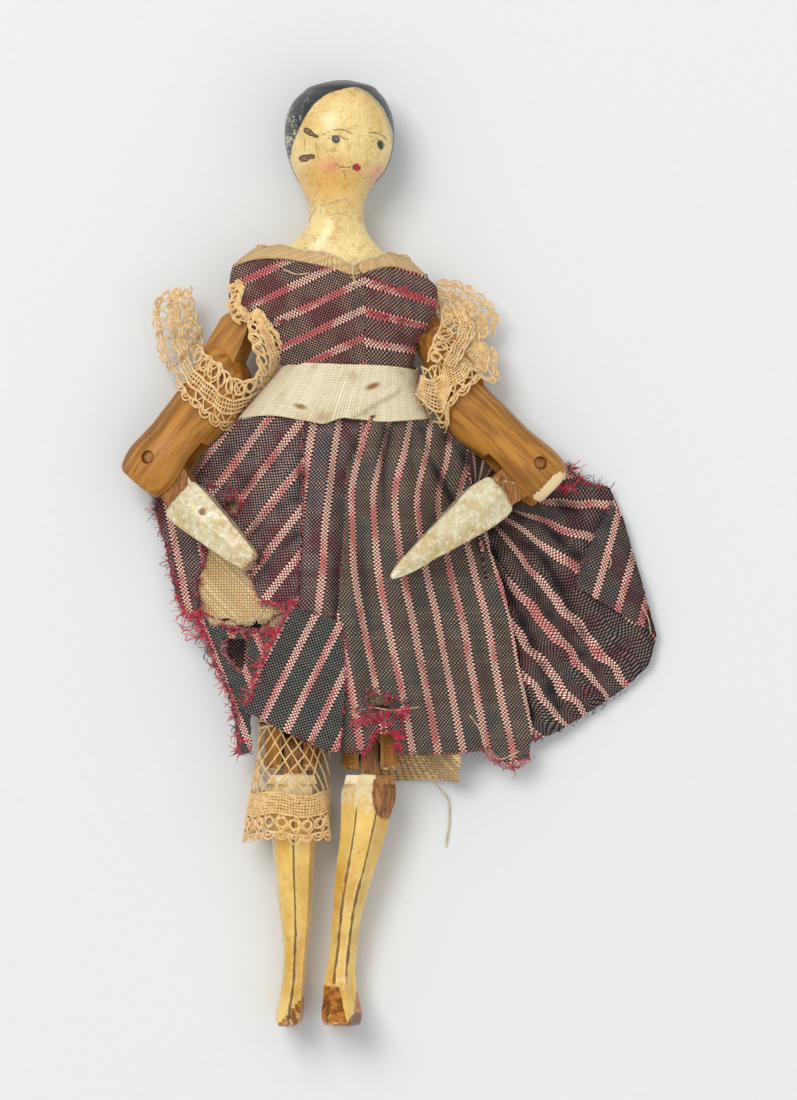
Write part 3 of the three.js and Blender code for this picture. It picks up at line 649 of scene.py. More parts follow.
# Marks painted on the face, from the lowest up: (attribute, soft edge, raggedness, strength, colour).
FACE_PAINTS = [
    ("cheek", 1.7, 1.5, 0.62, (226, 122, 110)),
    ("crack", 0.1, 0.12, 0.5, (128, 88, 42)),
    ("line", 0.09, 0.1, 0.8, (92, 62, 36)),
    ("lips", 0.10, 0.25, 1.0, (166, 24, 28)),
    ("ink", 0.09, 0.15, 1.0, (34, 30, 26)),
    ("eyelight", 0.10, 0.0, 1.0, (112, 106, 92)),
    ("pupil", 0.08, 0.0, 1.0, (30, 28, 28)),
    # painted highlights on the lips and in the left eye
    ("glint", 0.06, 0.0, 0.8, (236, 214, 206)),
    ("halo", 0.2, 0.3, 0.55, (128, 124, 104)),
]


def face_paint(name):
    """Varnished flesh paint with the hair, eyes, brows, mouth and cheeks painted on.

    The head's attributes hold the distance in millimetres outside each painted shape."""
    g, base, normal, rough = old_paint(name, (240, 212, 140), (220, 184, 108), chip=0.7, crackle=0.5,
                                       coat=0.5)
    place = g.place()
    paler = g.step(g.attribute("low"), 0.0, 1.0)
    base = g.over(base, paler, (240, 222, 158), 0.4)
    base = g.over(base, g.attribute("golden"), (234, 180, 84), 0.8)
    tan = g.step(g.noise(place, 0.5, 5.0, 0.7), 0.5, 0.68)
    base = g.over(base, tan, (198, 154, 82), 0.7)
    freckle = g.step(g.noise(place, 2.6, 5.0, 0.75), 0.54, 0.66)
    base = g.over(base, freckle, (150, 106, 52), 0.55)
    brush = g.noise(place, 1.2, 3.0)

    def shape(attribute, soft, ragged):
        distance = g.math("MULTIPLY_ADD", g.math("SUBTRACT", brush, 0.5), ragged, g.attribute(attribute))
        return g.step(distance, soft, -soft)

    for attribute, soft, ragged, amount, rgb in FACE_PAINTS:
        base = g.over(base, shape(attribute, soft, ragged), rgb, amount)
    hair = shape("hair", 0.10, 0.3)
    clustered = g.math("MULTIPLY_ADD", g.noise(place, 0.45, 3.0), 0.5, g.noise(place, 2.6, 6.0, 0.8))
    worn = g.step(g.math("MULTIPLY_ADD", g.attribute("worn"), 0.13, clustered), 0.91, 0.97)
    black = g.mix(g.step(g.noise(place, 1.0, 4.0), 0.5, 0.75), colour(14, 16, 19), colour(38, 42, 42))
    black = g.mix(worn, black, colour(206, 200, 172))
    base = g.mix(hair, base, black)
    missing = g.math("MULTIPLY_ADD", g.math("SUBTRACT", brush, 0.5), 0.5, g.attribute("chip"))
    gap = g.step(missing, 0.06, -0.06)
    splinter = g.noise(g.stretched(place, 1.2, 4.0, 1.0), 1.4, 4.0)
    wood = g.mix(g.step(splinter, 0.4, 0.6), colour(74, 48, 28), colour(150, 116, 74))
    wood = g.mix(g.step(missing, -0.22, -0.02), wood, colour(52, 34, 22))
    base = g.mix(gap, base, wood)
    normal = g.bump(gap, -0.2, 0.9, below=normal)
    normal = g.bump(g.noise(place, 0.6, 3.0), 0.35, 0.5, below=normal)
    rough = g.math("MULTIPLY_ADD", hair, 0.1, g.math("ADD", rough, 0.08))
    return g.done(base, normal, rough)


# ---- wooden pieces -----------------------------------------------------------------

PEG_RADIUS = 1.05
HOLE_RADIUS = 1.1
TONGUE = 2.8              # thickness of a tongue
SLOT = 3.4                # width of the slot it turns in
ARM_RISE = 0.12           # slope of the upper arms over the table
DOWEL_PAST_ELBOW = 4.6
FORK_DEPTH = 11.5
THIGH_RADIUS = 4.6
# turn and reach are the bearings in degrees of upper arm and forearm, shift is how far the hand lies
# to the side of the elbow, and inward is the sign of the arm frame's X on the body's side.
ARMS = {
    "left": {"turn": 37.7, "radius": 4.7, "length": 20.0, "reach": 132.3, "shift": 2.0, "inward": 1},
    "right": {"turn": -45.5, "radius": 4.3, "length": 19.5, "reach": -128.0, "shift": 0.0, "inward": -1},
}
# Where the leg is across the doll, at the hip and at the knee.
LEGS = {"left": {"x": -5.9, "knee_x": -7.0}, "right": {"x": 4.9, "knee_x": 5.2}}

# Sections of the head and body: (y, half width, half depth, roundness, shift to the right).
BODY_STATIONS = [
    (-29.6, 8.6, 2.2, 0.8), (-28.0, 10.6, 4.2, 0.8), (-24.6, 11.8, 5.2, 0.8),
    (-18.0, 11.4, 5.2, 0.8), (-9.0, 8.8, 5.0, 0.85), (0.0, 7.2, 4.8, 0.9),
    (6.0, 8.6, 5.2, 0.8), (10.0, 12.4, 5.6, 0.75), (13.0, 15.2, 5.6, 0.75),
    (17.0, 14.7, 5.4, 0.75, -0.6), (19.4, 12.2, 4.8, 0.8, -1.4), (21.6, 8.8, 4.3, 0.9, -1.1),
    (24.4, 5.6, 4.1, 1, -0.4), (28.4, 4.25, 4.1, 1, -0.1), (31.4, 5.2, 5.3, 1, -0.2),
    (34.6, 7.3, 7.4, 1, 0.3), (38.0, 8.45, 8.5, 1, 0.4), (41.0, 8.7, 8.7, 1, 0.4),
    (44.2, 8.1, 8.1, 1, 0.4), (47.0, 6.2, 6.3, 1, 0.6), (48.3, 4.3, 4.5, 1, 0.8), (49.0, 1.4, 1.6, 1, 0.9),
]

# Shin and foot by distance below the knee: (distance, half width, shift to the right).
SHIN_WIDTHS = {
    "left": [(3.4, 3.5, 0), (5.2, 4.0, 0), (11, 3.7, 0.1), (19, 3.1, 0.2), (26, 2.5, 0.4), (32, 1.9, 0.3),
             (37, 1.9, 0), (40, 2.1, -0.4), (42.6, 2.05, -0.7), (43.1, 1.75, -0.8)],
    "right": [(3.4, 3.8, -0.1), (5.2, 4.4, -0.1), (11, 4.0, -0.8), (17.3, 3.4, -2.0), (24.2, 2.6, -3.4),
              (31, 2.25, -4.2), (36.2, 2.6, -4.7), (40, 3.1, -4.6), (42.6, 3.15, -4.4), (43.1, 2.8, -4.4)],
}
# The same in side view: (distance, height of the back, height of the front).
SHIN_PROFILE = [
    (3.4, 10.1, 11.2), (4.5, 10.0, 11.4), (4.8, 9.9, 11.4), (5.2, 2.9, 11.5), (5.6, 2.9, 11.5),
    (11, 2.8, 11.5), (19, 2.4, 10.8), (26, 2.0, 9.3), (32, 1.6, 7.9), (36.5, 0.8, 7.8), (39.5, 0.1, 10.4),
    (41.4, 0.0, 13.6), (42.6, 0.5, 14.6), (43, 1.5, 13.8),
]
# Forearms by distance from the elbow: (distance, half width, half thickness).
FOREARMS = {
    "left": [(6.5, 3.0, 1.9), (7.1, 3.7, 2.4), (9, 4.0, 2.6), (13.5, 3.5, 2.3), (18.5, 2.7, 1.8),
             (22.2, 2.0, 1.4), (23.2, 1.7, 0.9)],
    "right": [(6.5, 2.8, 1.8), (7.1, 3.4, 2.3), (9.5, 4.0, 2.7), (15.5, 3.4, 2.2), (22, 2.3, 1.6),
              (27.6, 1.3, 1.1), (29.6, 0.7, 0.7), (30.3, 0.3, 0.3)],
}


def joint_point(name):
    return millimetres(JOINTS[name]["pos_m"])


def arm_frames(side):
    """The shoulder pivot's, dowel's and forearm's frames, with +Z along the arm's pegs."""
    peg = np.array(JOINTS["elbow_" + side]["axis"], float)
    peg *= np.sign(peg[2])
    elbow = joint_point("elbow_" + side)
    turn = math.radians(ARMS[side]["turn"])
    along = (math.sin(turn), math.cos(turn), ARM_RISE)
    reach = math.radians(ARMS[side]["reach"])
    way = np.array([math.sin(reach), math.cos(reach), 0.0])
    way[2] = -np.dot(way[:2], peg[:2]) / peg[2]
    return {
        "pivot": frame_at(joint_point("shoulder_" + side), along, peg),
        "dowel": frame_at(elbow, along, peg),
        "forearm": frame_at(elbow, way, peg),
    }


def helper_solid(points, faces, matrix):
    """Nameless solid used to cut or add to another."""
    return make_object("helper", placed(matrix, points), faces, None)


def block(matrix, low, high):
    """Box between two opposite corners, in a frame's own axes."""
    corners = [(x, y, z) for x in (low[0], high[0]) for y in (low[1], high[1]) for z in (low[2], high[2])]
    faces = [(0, 1, 3, 2), (4, 6, 7, 5), (0, 4, 5, 1), (2, 3, 7, 6), (0, 2, 6, 4), (1, 5, 7, 3)]
    return helper_solid(corners, faces, matrix)


def extruded(matrix, outline, low, high):
    """Prism of a flat outline between two heights of a frame's Z."""
    count = len(outline)
    points = [(x, y, low) for x, y in outline] + [(x, y, high) for x, y in outline]
    faces = [tuple(reversed(range(count))), tuple(range(count, 2 * count))]
    for k in range(count):
        j = (k + 1) % count
        faces.append((k, j, j + count, k + count))
    return helper_solid(points, faces, matrix)


def rod(matrix, radius, half, sides=32):
    """Round rod along a frame's Z."""
    ring = [2 * math.pi * k / sides for k in range(sides)]
    return extruded(matrix, [(radius * math.cos(a), radius * math.sin(a)) for a in ring], -half, half)


def link_outline(start, end, radius_start, radius_end, steps=12):
    """Outline of a flat link with round ends."""
    start, end = np.array(start, float), np.array(end, float)
    turn = math.atan2(*(end - start)[::-1])
    outline = []
    rounds = ((start, radius_start, turn + math.pi / 2), (end, radius_end, turn - math.pi / 2))
    for centre, radius, base in rounds:
        for k in range(steps + 1):
            a = base + math.pi * k / steps
            outline.append((centre[0] + radius * math.cos(a), centre[1] + radius * math.sin(a)))
    return [tuple(point) for point in dense_outline(outline, step=0.6)]


def lofted(name, matrix, stations, material, **shape):
    """Mesh object of a lofted solid that runs along a frame's Y."""
    points, faces, uv = loft(stations, **shape)
    return make_object(name, placed(matrix, points), faces, material, uv)


def finish_wood(obj, matrix, marks=None, roughen=0.0):
    """Gives a carved piece its grain, small hand-made unevenness and the marks that its material reads, such
    as wear, dirt and the lower legs' painted highlights.

    marks(local x, y, z) returns {attribute: value at each point}."""
    mesh = obj.data
    mesh.validate()
    co = doll_points(mesh)
    local = (co - matrix[:3, 3]) @ matrix[:3, :3]
    if roughen:
        normals = np.zeros(len(mesh.vertices) * 3)
        mesh.vertices.foreach_get("normal", normals)
        seed = len(mesh.vertices) % 7
        dent = wobble(local[:, 0] + local[:, 2] * 0.7, local[:, 1], 3.1, seed)
        co += normals.reshape(-1, 3) * (dent * roughen)[:, None]
        mesh.vertices.foreach_set("co", metres(co).ravel())
    # Each piece is cut from its own place in the wood, so that no two have the same grain.
    place_in_wood = len(mesh.vertices) % 50
    grain = mesh.attributes.new("grain", "FLOAT_VECTOR", "POINT")
    grain.data.foreach_set("vector", (local + place_in_wood).astype(np.float32).ravel())
    for key, values in (marks(*local.T) if marks else {}).items():
        add_attribute(mesh, key, values)
    mesh.set_sharp_from_angle(angle=math.radians(32))
    return obj


def peg(name, matrix, half, body, material):
    """Whittled peg along Z of a frame, a little proud and uneven at its ends."""
    sizes = [(-half, 0.7), (-half + 0.25, 0.98), (0, 1), (half - 0.25, 0.98), (half, 0.7)]
    sized = [(at, size * PEG_RADIUS, size * PEG_RADIUS) for at, size in sizes]
    along = frame_at(matrix[:3, 3], matrix[:3, 2], matrix[:3, 0])
    obj = lofted(name, along, sized, material, sides=30, facets=10, step=0.4)
    return settle(finish_wood(obj, along), body, name, slot="peg")


def upper_arm(side, material):
    """Dowel of an upper arm: a tongue up to the shoulder, and a fork for the forearm's tongue."""
    arm = ARMS[side]
    frames = arm_frames(side)
    matrix = frames["dowel"]
    r = arm["radius"]
    inward = arm["inward"]
    end = arm["length"]
    dowel = lofted("upper_arm_" + side + "_look", matrix, [
        (-DOWEL_PAST_ELBOW, r * 0.86, r * 0.86), (-DOWEL_PAST_ELBOW + 0.3, r * 0.95, r * 0.95),
        (-DOWEL_PAST_ELBOW + 0.9, r, r), (5, r * 0.985, r * 0.985), (end - 3, r, r),
        (end - 0.4, r * 0.84, r * 0.9, -inward * r * 0.16),
        (end + 1.2, r * 0.45, r * 0.5, -inward * r * 0.45),
    ], material, sides=56, step=0.7)
    top = (frames["pivot"][:3, 3] - matrix[:3, 3]) @ matrix[:3, :3]
    root = np.array([-inward * r * 0.42, end - 1.5])
    tongue = extruded(matrix, link_outline(root, top[:2], 2.3, 2.6), -TONGUE / 2, TONGUE / 2)
    thickening = link_outline((-inward * r * 0.3, end - 2.5), lerp(root, top[:2], 0.5), 3.0, 2.6)
    wedge = extruded(matrix, thickening, -TONGUE / 2, 3.0)
    join_solids(dowel, tongue, wedge)
    fork_end = FORK_DEPTH - DOWEL_PAST_ELBOW
    slot = block(matrix, (-2 * r, fork_end - FORK_DEPTH - 1, -SLOT / 2), (2 * r, fork_end, SLOT / 2))
    cut(dowel, slot, rod(matrix, HOLE_RADIUS, 3 * r), rod(frames["pivot"], HOLE_RADIUS, 8))

    def marks(x, y, z):
        low_end = smoothstep(-1.6, -4.2, y)
        outer = smoothstep(0.5, 3.0, -inward * x + 0.4 * z)
        rubbed_side = inward * x if side == "right" else -x
        patch = low_end * smoothstep(-1.5, 2.5, z) * smoothstep(-4.5, 0.5, rubbed_side)
        cream = patch * 0.95 if side == "right" else patch * 0.35
        dirt = 0.72 * smoothstep(1.9, 0.9, np.hypot(x, y)) * (np.abs(z) > r * 0.6)
        dirt = np.maximum(dirt, 0.55 * smoothstep(end - 3, end + 1, y) * outer)
        return {"cream": cream, "dirt": dirt}

    finish_wood(dowel, matrix, marks, roughen=0.06)
    return settle(dowel, "upper_arm_" + side, "upper_arm_" + side, slot="wood")


def forearm(side, material):
    """Carved forearm and hand, with a tongue that goes into the upper arm's fork."""
    matrix = arm_frames(side)["forearm"]
    shift = ARMS[side]["shift"]
    stations = [(at, w, d, shift, 0.0, 0.86) for at, w, d in FOREARMS[side]]
    carved = {"sides": 36, "facets": 6, "turn": math.pi / 6, "step": 0.5}
    hand = lofted("forearm_" + side + "_look", matrix, stations, material, **carved)
    join_solids(hand, extruded(matrix, link_outline((0, 0), (shift, 9.0), 3.4, 2.4), -TONGUE / 2, TONGUE / 2))
    cut(hand, rod(matrix, HOLE_RADIUS, 6))
    tip = FOREARMS[side][-1][0]

    def marks(x, y, z):
        tongue = smoothstep(7.4, 6.6, y)
        edge = smoothstep(0.7, 1.0, np.abs(x - shift) / (3.9 - 0.13 * np.maximum(y - 9, 0)))
        bare = 1.4 * tongue + 0.25 * edge
        if side == "left":
            bare = bare + 0.6 * smoothstep(1.5, 0.4, np.hypot(x - shift + 1.0, y - 12.0))
            bare = bare + 0.5 * smoothstep(1.6, 0.2, tip - y)
        return {"bare": np.clip(bare, 0, 1), "dirt": 0.8 * edge + 0.4 * tongue}

    finish_wood(hand, matrix, marks, roughen=0.12)
    return settle(hand, "forearm_" + side, "forearm_" + side, slot="paint")


def leg_frame(y, z, x):
    """Upright leg frame: local axes stay the doll's."""
    matrix = np.eye(4)
    matrix[:3, 3] = (x, y, z)
    return matrix


# Turns an upright frame so that its Z runs across the doll, along the pegs of the legs.
SIDEWAYS = np.array([[0.0, 0, 1, 0], [0, 1, 0, 0], [-1, 0, 0, 0], [0, 0, 0, 1]])


def thigh(side, material):
    """Faceted thigh, with a tongue up to the hip and a fork for the lower leg's tongue."""
    x, knee_x = LEGS[side]["x"], LEGS[side]["knee_x"]
    top, bottom = HIP_Y - 6.6, KNEE_Y - 2.6
    r = THIGH_RADIUS
    leg = lofted("thigh_" + side + "_look", np.eye(4), [
        (bottom, r * 0.9, r * 0.88, knee_x, KNEE_Z), (bottom + 0.6, r * 0.98, r * 0.98, knee_x, KNEE_Z),
        (bottom + 2, r, r, knee_x, KNEE_Z), (bottom + 3, r, r, knee_x, KNEE_Z),
        (top - 2.4, r, r, x, HIP_Z), (top - 1.2, r, r, x, HIP_Z), (top, r * 0.92, r * 0.92, x, HIP_Z),
    ], material, sides=48, facets=12, step=1.0)
    hip = leg_frame(HIP_Y, HIP_Z, x) @ SIDEWAYS
    knee = leg_frame(KNEE_Y, KNEE_Z, knee_x) @ SIDEWAYS
    join_solids(leg, extruded(hip, link_outline((0, 0), (0, -10.6), 3.2, 3.2), -TONGUE / 2, TONGUE / 2))
    fork = block(knee, (-3 * r, bottom - 1 - KNEE_Y, -SLOT / 2), (3 * r, 5.6, SLOT / 2))
    cut(leg, fork, rod(hip, HOLE_RADIUS, 2 * r), rod(knee, HOLE_RADIUS, 3 * r))

    def marks(x_, y, z):
        end = smoothstep(bottom + 4, bottom, y)
        return {"dirt": 0.8 * end * smoothstep(-0.2, 0.6, wobble(x_, y, 2.0)), "cream": 0.45 * end}

    finish_wood(leg, np.eye(4), marks, roughen=0.05)
    return settle(leg, "thigh_" + side, "thigh_" + side, slot="wood")


def lower_leg(side, material):
    """Carved lower leg and painted slipper, with a tongue that goes into the thigh's fork."""
    knee_x = LEGS[side]["knee_x"]
    widths = [(at, width) for at, width, _ in SHIN_WIDTHS[side]]
    shifts = [(at, shift) for at, _, shift in SHIN_WIDTHS[side]]
    stations = []
    for at, back, front in SHIN_PROFILE:
        width, shift = float(curve(widths, at)), float(curve(shifts, at))
        stations.append((KNEE_Y - at, width, (front - back) / 2, knee_x + shift, (front + back) / 2, 0.82))
    carved = {"sides": 88, "facets": 8, "turn": math.pi / 8 if side == "right" else 0.0, "step": 0.5}
    leg = lofted("lower_leg_" + side + "_look", np.eye(4), stations, material, **carved)
    knee = leg_frame(KNEE_Y, KNEE_Z, knee_x) @ SIDEWAYS
    join_solids(leg, extruded(knee, link_outline((0, 0), (0, -11.0), 3.2, 3.2), -TONGUE / 2, TONGUE / 2))
    cut(leg, rod(knee, HOLE_RADIUS, 3 * TONGUE))

    def marks(x, y, z):
        below = KNEE_Y - y
        from_middle = x - knee_x - curve(shifts, below)
        width = curve(widths, below)
        corner = 0.38 if side == "right" else 0.0
        line = np.abs(np.abs(from_middle / width) - corner) * width
        front = z > (curve([(a, (b + f) / 2) for a, b, f in SHIN_PROFILE], below) + 0.5)
        uneven = line - 0.1 * wobble(x, y * 0.8, 1.5)
        ridge = front * smoothstep(0.34, 0.08, uneven) * smoothstep(6, 10, below)
        if side == "right":
            ridge = ridge * smoothstep(38, 36, below)
        dirt = front * smoothstep(1.1, 0.2, line) * 0.35
        tongue = smoothstep(3.4, 2.9, below)
        edge = smoothstep(0.86, 1.0, np.abs(from_middle) / width)
        bare = 1.2 * tongue + 0.12 * edge
        if side == "left":
            sole = below + 1.2 * from_middle - 41.0
            slipper = smoothstep(-1.0, 1.0, sole)
            ridge = np.maximum(ridge, front * smoothstep(0.5, 0.1, np.abs(sole)) * 0.8)
        else:
            throat = 5.0 * smoothstep(1.5, 0.4, np.abs(from_middle - 1.3))
            slipper = smoothstep(36.0, 38.2, below - throat)
            ridge = np.maximum(ridge, smoothstep(2.6, 0.8, np.hypot(from_middle - 2.6, below - 42.6)))
        if side == "right":
            bare = bare + 0.85 * smoothstep(3.5, 1.0, np.hypot(x - 7.6, (y + 64.0) * 0.5))
            bare = bare + 0.55 * smoothstep(1.3, 0.2, np.hypot(x - 3.5, y + 73.2))
        # Painted highlight: a pale band beside each ridge line, which joins the rubbed edges and knee in the
        # pale marks.
        beside = front * smoothstep(1.0, 0.35, line) * smoothstep(0.2, 0.4, line) * 0.75
        worn = np.maximum.reduce([edge, beside, smoothstep(14, 6, below) * 0.8])
        return {
            "bare": np.clip(bare, 0, 1), "dirt": dirt + 0.5 * edge, "slipper": slipper, "ridge": ridge,
            "worn": worn,
        }

    finish_wood(leg, np.eye(4), marks, roughen=0.09)
    return settle(leg, "lower_leg_" + side, "lower_leg_" + side, slot="paint")


# ---- head and body -----------------------------------------------------------------

def oval(x, y, centre, across, up, turn=0.0):
    """Rough distance outside an oval spot."""
    a = math.radians(turn)
    dx, dy = x - centre[0], y - centre[1]
    u = (dx * math.cos(a) + dy * math.sin(a)) / across
    v = (dy * math.cos(a) - dx * math.sin(a)) / up
    return (np.hypot(u, v) - 1) * min(across, up)


def smooth_line(points, count=14):
    return polyline(points, np.linspace(0, 1, count))


# Edge of the painted hair, from the left side of the face over the forehead to the right.
HAIRLINE = [
    (-8.2, 32.6), (-7.8, 34.6), (-7.4, 36.6), (-6.8, 38.8), (-5.6, 41.5), (-3.9, 44.3), (-1.8, 46.2),
    (1.0, 47.2), (3.1, 47.6), (4.7, 46.9), (6.2, 45.6), (7.3, 44.3), (8.1, 42.8), (8.9, 40.4), (9.6, 37.0),
]


# Painted and chipped shapes of the face by attribute: strokes as (line, half width), then oval spots
# as (centre, half width, half height, turn in degrees).
FACE_SHAPES = {
    # Brows, lids and smile, then a fleck below the mouth and one below the left eye.
    "line": ([
        (smooth_line([(-2.2, 39.8), (-0.9, 40.45), (0.6, 40.7), (2.5, 40.05)]), 0.13),
        (smooth_line([(4.9, 40.2), (6.1, 40.3), (7.1, 40.0), (7.9, 39.4)]), 0.13),
        (smooth_line([(-1.5, 39.0), (-0.9, 39.55), (0.1, 39.8), (0.9, 39.45), (1.9, 39.0)]), 0.11),
        (smooth_line([(5.6, 39.0), (6.3, 39.25), (7.1, 39.05), (7.6, 38.4)]), 0.13),
        (smooth_line([(-0.1, 35.5), (0.1, 35.05), (0.6, 34.9), (1.4, 34.8), (2.1, 34.85), (2.5, 35.1)]),
         0.11),
    ], [((1.1, 34.1), 0.22, 0.16), ((-0.3, 37.5), 0.3, 0.14)]),
    # Cracks beside the left eye, on the neck and below the mouth.
    "crack": ([
        ([(-5.0, 39.3), (-5.1, 38.4), (-5.0, 37.3)], 0.14),
        ([(-3.4, 39.0), (-3.2, 38.0), (-3.0, 37.2), (-2.8, 36.0)], 0.14),
        (smooth_line([(-2.6, 29.1), (-1.0, 29.3), (0.4, 29.7), (1.5, 30.1)]), 0.14),
        (smooth_line([(-1.4, 27.5), (0.2, 27.7), (1.6, 28.0)]), 0.14),
        (smooth_line([(-4.4, 26.4), (-4.1, 27.4), (-3.3, 28.6)]), 0.14),
        ([(1.3, 34.4), (1.4, 33.0)], 0.14),
    ], []),
    # Paint chipped to the wood beside the left eye, on the cheek and on the forehead.
    "chip": ([
        ([(-4.8, 40.7), (-4.4, 40.4), (-4.0, 40.05)], 0.42),
        ([(-4.2, 40.1), (-3.1, 39.6)], 0.24),
        ([(-5.5, 36.25), (-4.6, 36.35)], 0.48),
        ([(-4.6, 36.4), (-3.7, 36.5)], 0.36),
    ], [((-2.8, 36.3), 0.13, 0.1), ((-3.9, 43.1), 0.13, 0.1)]),
    # Eyes, and the dark end of the smile.
    "ink": ([], [((-0.1, 39.15), 0.66, 0.64), ((6.9, 38.45), 0.48, 0.74, 18), ((2.6, 34.85), 0.12, 0.36)]),
    "eyelight": ([], [((-0.05, 39.2), 0.40, 0.36)]),
    "pupil": ([], [((-0.15, 39.15), 0.2, 0.2)]),
    "lips": ([], [((3.2, 34.85), 0.66, 0.62)]),
    "cheek": ([], [((-1.1, 35.0), 1.1, 0.9), ((6.4, 33.7), 1.2, 1.3)]),
    # Painted highlights: a glint on the lips and one in the left eye.
    "glint": ([], [((3.55, 35.2), 0.2, 0.12), ((-0.35, 39.4), 0.1, 0.1)]),
}
FACE_CENTRE = (1.0, 36.0)
NAPE_Y = 33.0             # the painted hair ends here
FAR_OUTSIDE = 30.0        # added to a shape's distance where it can't be


def outside(x, y, strokes, spots):
    """Distance outside the nearest of some strokes and spots."""
    distances = [distance_to(x, y, line, half_width) for line, half_width in strokes]
    distances += [oval(x, y, *spot) for spot in spots]
    return np.minimum.reduce(distances)


def hair_marks(x, y, z):
    """Distance outside the painted hair, which covers the back of the head down to the nape."""
    hair_edge = smooth_line(HAIRLINE, 40)
    edge_x, edge_y = hair_edge[:, 0] - FACE_CENTRE[0], hair_edge[:, 1] - FACE_CENTRE[1]
    dx, dy = x - FACE_CENTRE[0], y - FACE_CENTRE[1]
    limit = np.interp(np.arctan2(dx, dy), np.arctan2(edge_x, edge_y), np.hypot(edge_x, edge_y))
    hair = np.where(y > NAPE_Y, limit - np.hypot(dx, dy), 5.0)
    nape = NAPE_Y - y
    return np.where(z < TORSO_Z - 1.0, nape, np.where(z < TORSO_Z + 1.5, np.minimum(hair, nape), hair))


def face_marks(x, y, z):
    """Attributes of the head's paint: most are the distance outside a painted shape."""
    behind = np.where(z > TORSO_Z, 0.0, FAR_OUTSIDE)
    shapes = {name: outside(x, y, *shape) + behind for name, shape in FACE_SHAPES.items()}
    hair = hair_marks(x, y, z)
    return {
        **shapes, "hair": hair, "halo": np.where(x > 2.6, hair - 0.55, 9.0) + behind,
        "low": smoothstep(31, 25, y),
        "golden": np.exp(-((y - 32.8) / 3.0) ** 2) * smoothstep(7.5, 1.5, np.abs(x + 0.6)),
        "worn": smoothstep(-2.0, -7.0, x) * smoothstep(47, 43, y),
        "dirt": 0.35 * smoothstep(23.5, 20.5, y) + 0.3 * smoothstep(3.4, 0.6, np.hypot(x - 0.9, y - 34.6)),
    }


def head_and_body(material):
    """Turned head and body, with a slot and a peg hole for each arm and thigh."""
    stations = []
    for y, width, depth, roundness, *shift in BODY_STATIONS:
        stations.append((y, width, depth, shift[0] if shift else 0.0, TORSO_Z, roundness))
    body = lofted("head_and_body_look", np.eye(4), stations, material, sides=150, step=0.32)
    tools = []
    half = SLOT / 2
    for side, outward in (("left", -1), ("right", 1)):
        pivot = arm_frames(side)["pivot"]
        inside, out = sorted((-outward * 3.4, outward * 16.0))
        tools.append(rod(pivot, 4.2, half))
        tools.append(block(pivot, (inside, -16, -half), (out, 0, half)))
        low, high = sorted((0.0, outward * 16.0))
        tools.append(block(pivot, (low, 0, -half), (high, 6.5, half)))
        tools.append(rod(pivot, HOLE_RADIUS, 15))
        x = LEGS[side]["x"]
        tools.append(block(np.eye(4), (x - half, HIP_Y - 8, HIP_Z - 10), (x + half, HIP_Y + 4, HIP_Z + 10)))
    hip = leg_frame(HIP_Y, HIP_Z, 0) @ SIDEWAYS
    tools.append(rod(hip, HOLE_RADIUS, 20))
    cut(body, *tools)
    finish_wood(body, np.eye(4), face_marks, roughen=0.03)
    return settle(body, "torso", "head_and_torso", slot="paint")


def wooden_doll():
    """Every wooden piece: the head and body, the arms, the legs and their pegs."""
    wood = bare_wood("old_pine")
    peg_wood = bare_wood("peg_wood", (170, 114, 52), (112, 70, 30))
    hands = hand_paint("hand_paint")
    legs = leg_paint("leg_paint")
    head_and_body(face_paint("face_paint"))
    for side in ("left", "right"):
        frames = arm_frames(side)
        peg("shoulder_peg_" + side, frames["pivot"], 3.1, "torso", peg_wood)
        upper_arm(side, wood)
        peg("elbow_peg_" + side, frames["dowel"], ARMS[side]["radius"], "upper_arm_" + side, peg_wood)
        forearm(side, hands)
        thigh(side, wood)
        knee = leg_frame(KNEE_Y, KNEE_Z, LEGS[side]["knee_x"]) @ SIDEWAYS
        peg("knee_peg_" + side, knee, THIGH_RADIUS - 0.2, "thigh_" + side, peg_wood)
        lower_leg(side, legs)
    peg("hip_peg", leg_frame(HIP_Y, HIP_Z, 0) @ SIDEWAYS, 11.2, "torso", peg_wood)


# ---- cloth -------------------------------------------------------------------------

FRAY_DENSITY = 2.8
RED, TEAL, DARK, PINK, CREAM = range(5)


def thread_set():
    """Materials of the loose threads, in the order RED, TEAL, DARK, PINK, CREAM."""
    return [
        thread_material("thread_red", (216, 26, 62), (164, 12, 42)),
        thread_material("thread_teal", (44, 92, 96), (24, 54, 60)),
        thread_material("thread_dark", (58, 50, 54), (34, 30, 34)),
        thread_material("thread_pink", (206, 124, 124), (170, 80, 92)),
        thread_material("thread_cream", (222, 202, 160), (190, 160, 112)),
    ]


def inside(outline, x, y):
    """True where points lie inside a closed outline."""
    result = np.zeros(np.shape(x), bool)
    for (x0, y0), (x1, y1) in zip(outline, np.roll(outline, -1, axis=0)):
        if y0 == y1:
            continue
        crosses = (y0 > y) != (y1 > y)
        result ^= crosses & (x < x0 + (y - y0) * (x1 - x0) / (y1 - y0))
    return result


def dense_outline(points, ragged=0.0, step=0.3, seed=0.0):
    """Closed outline with points every step, and an uneven edge."""
    points = np.asarray(points, float)
    parts = []
    for start, end in zip(points, np.roll(points, -1, axis=0)):
        count = max(1, int(np.linalg.norm(end - start) / step))
        share = np.arange(count)[:, None] / count
        parts.append(start + (end - start) * share)
    line = np.concatenate(parts)
    if ragged:
        along = np.roll(line, -1, axis=0) - np.roll(line, 1, axis=0)
        normal = np.stack([along[:, 1], -along[:, 0]], -1)
        normal /= np.maximum(np.linalg.norm(normal, axis=1, keepdims=True), 1e-9)
        at = np.arange(len(line)) * step
        line = line + normal * (ragged * wobble(at, at * 0.7, 1.3, seed))[:, None]
    return line


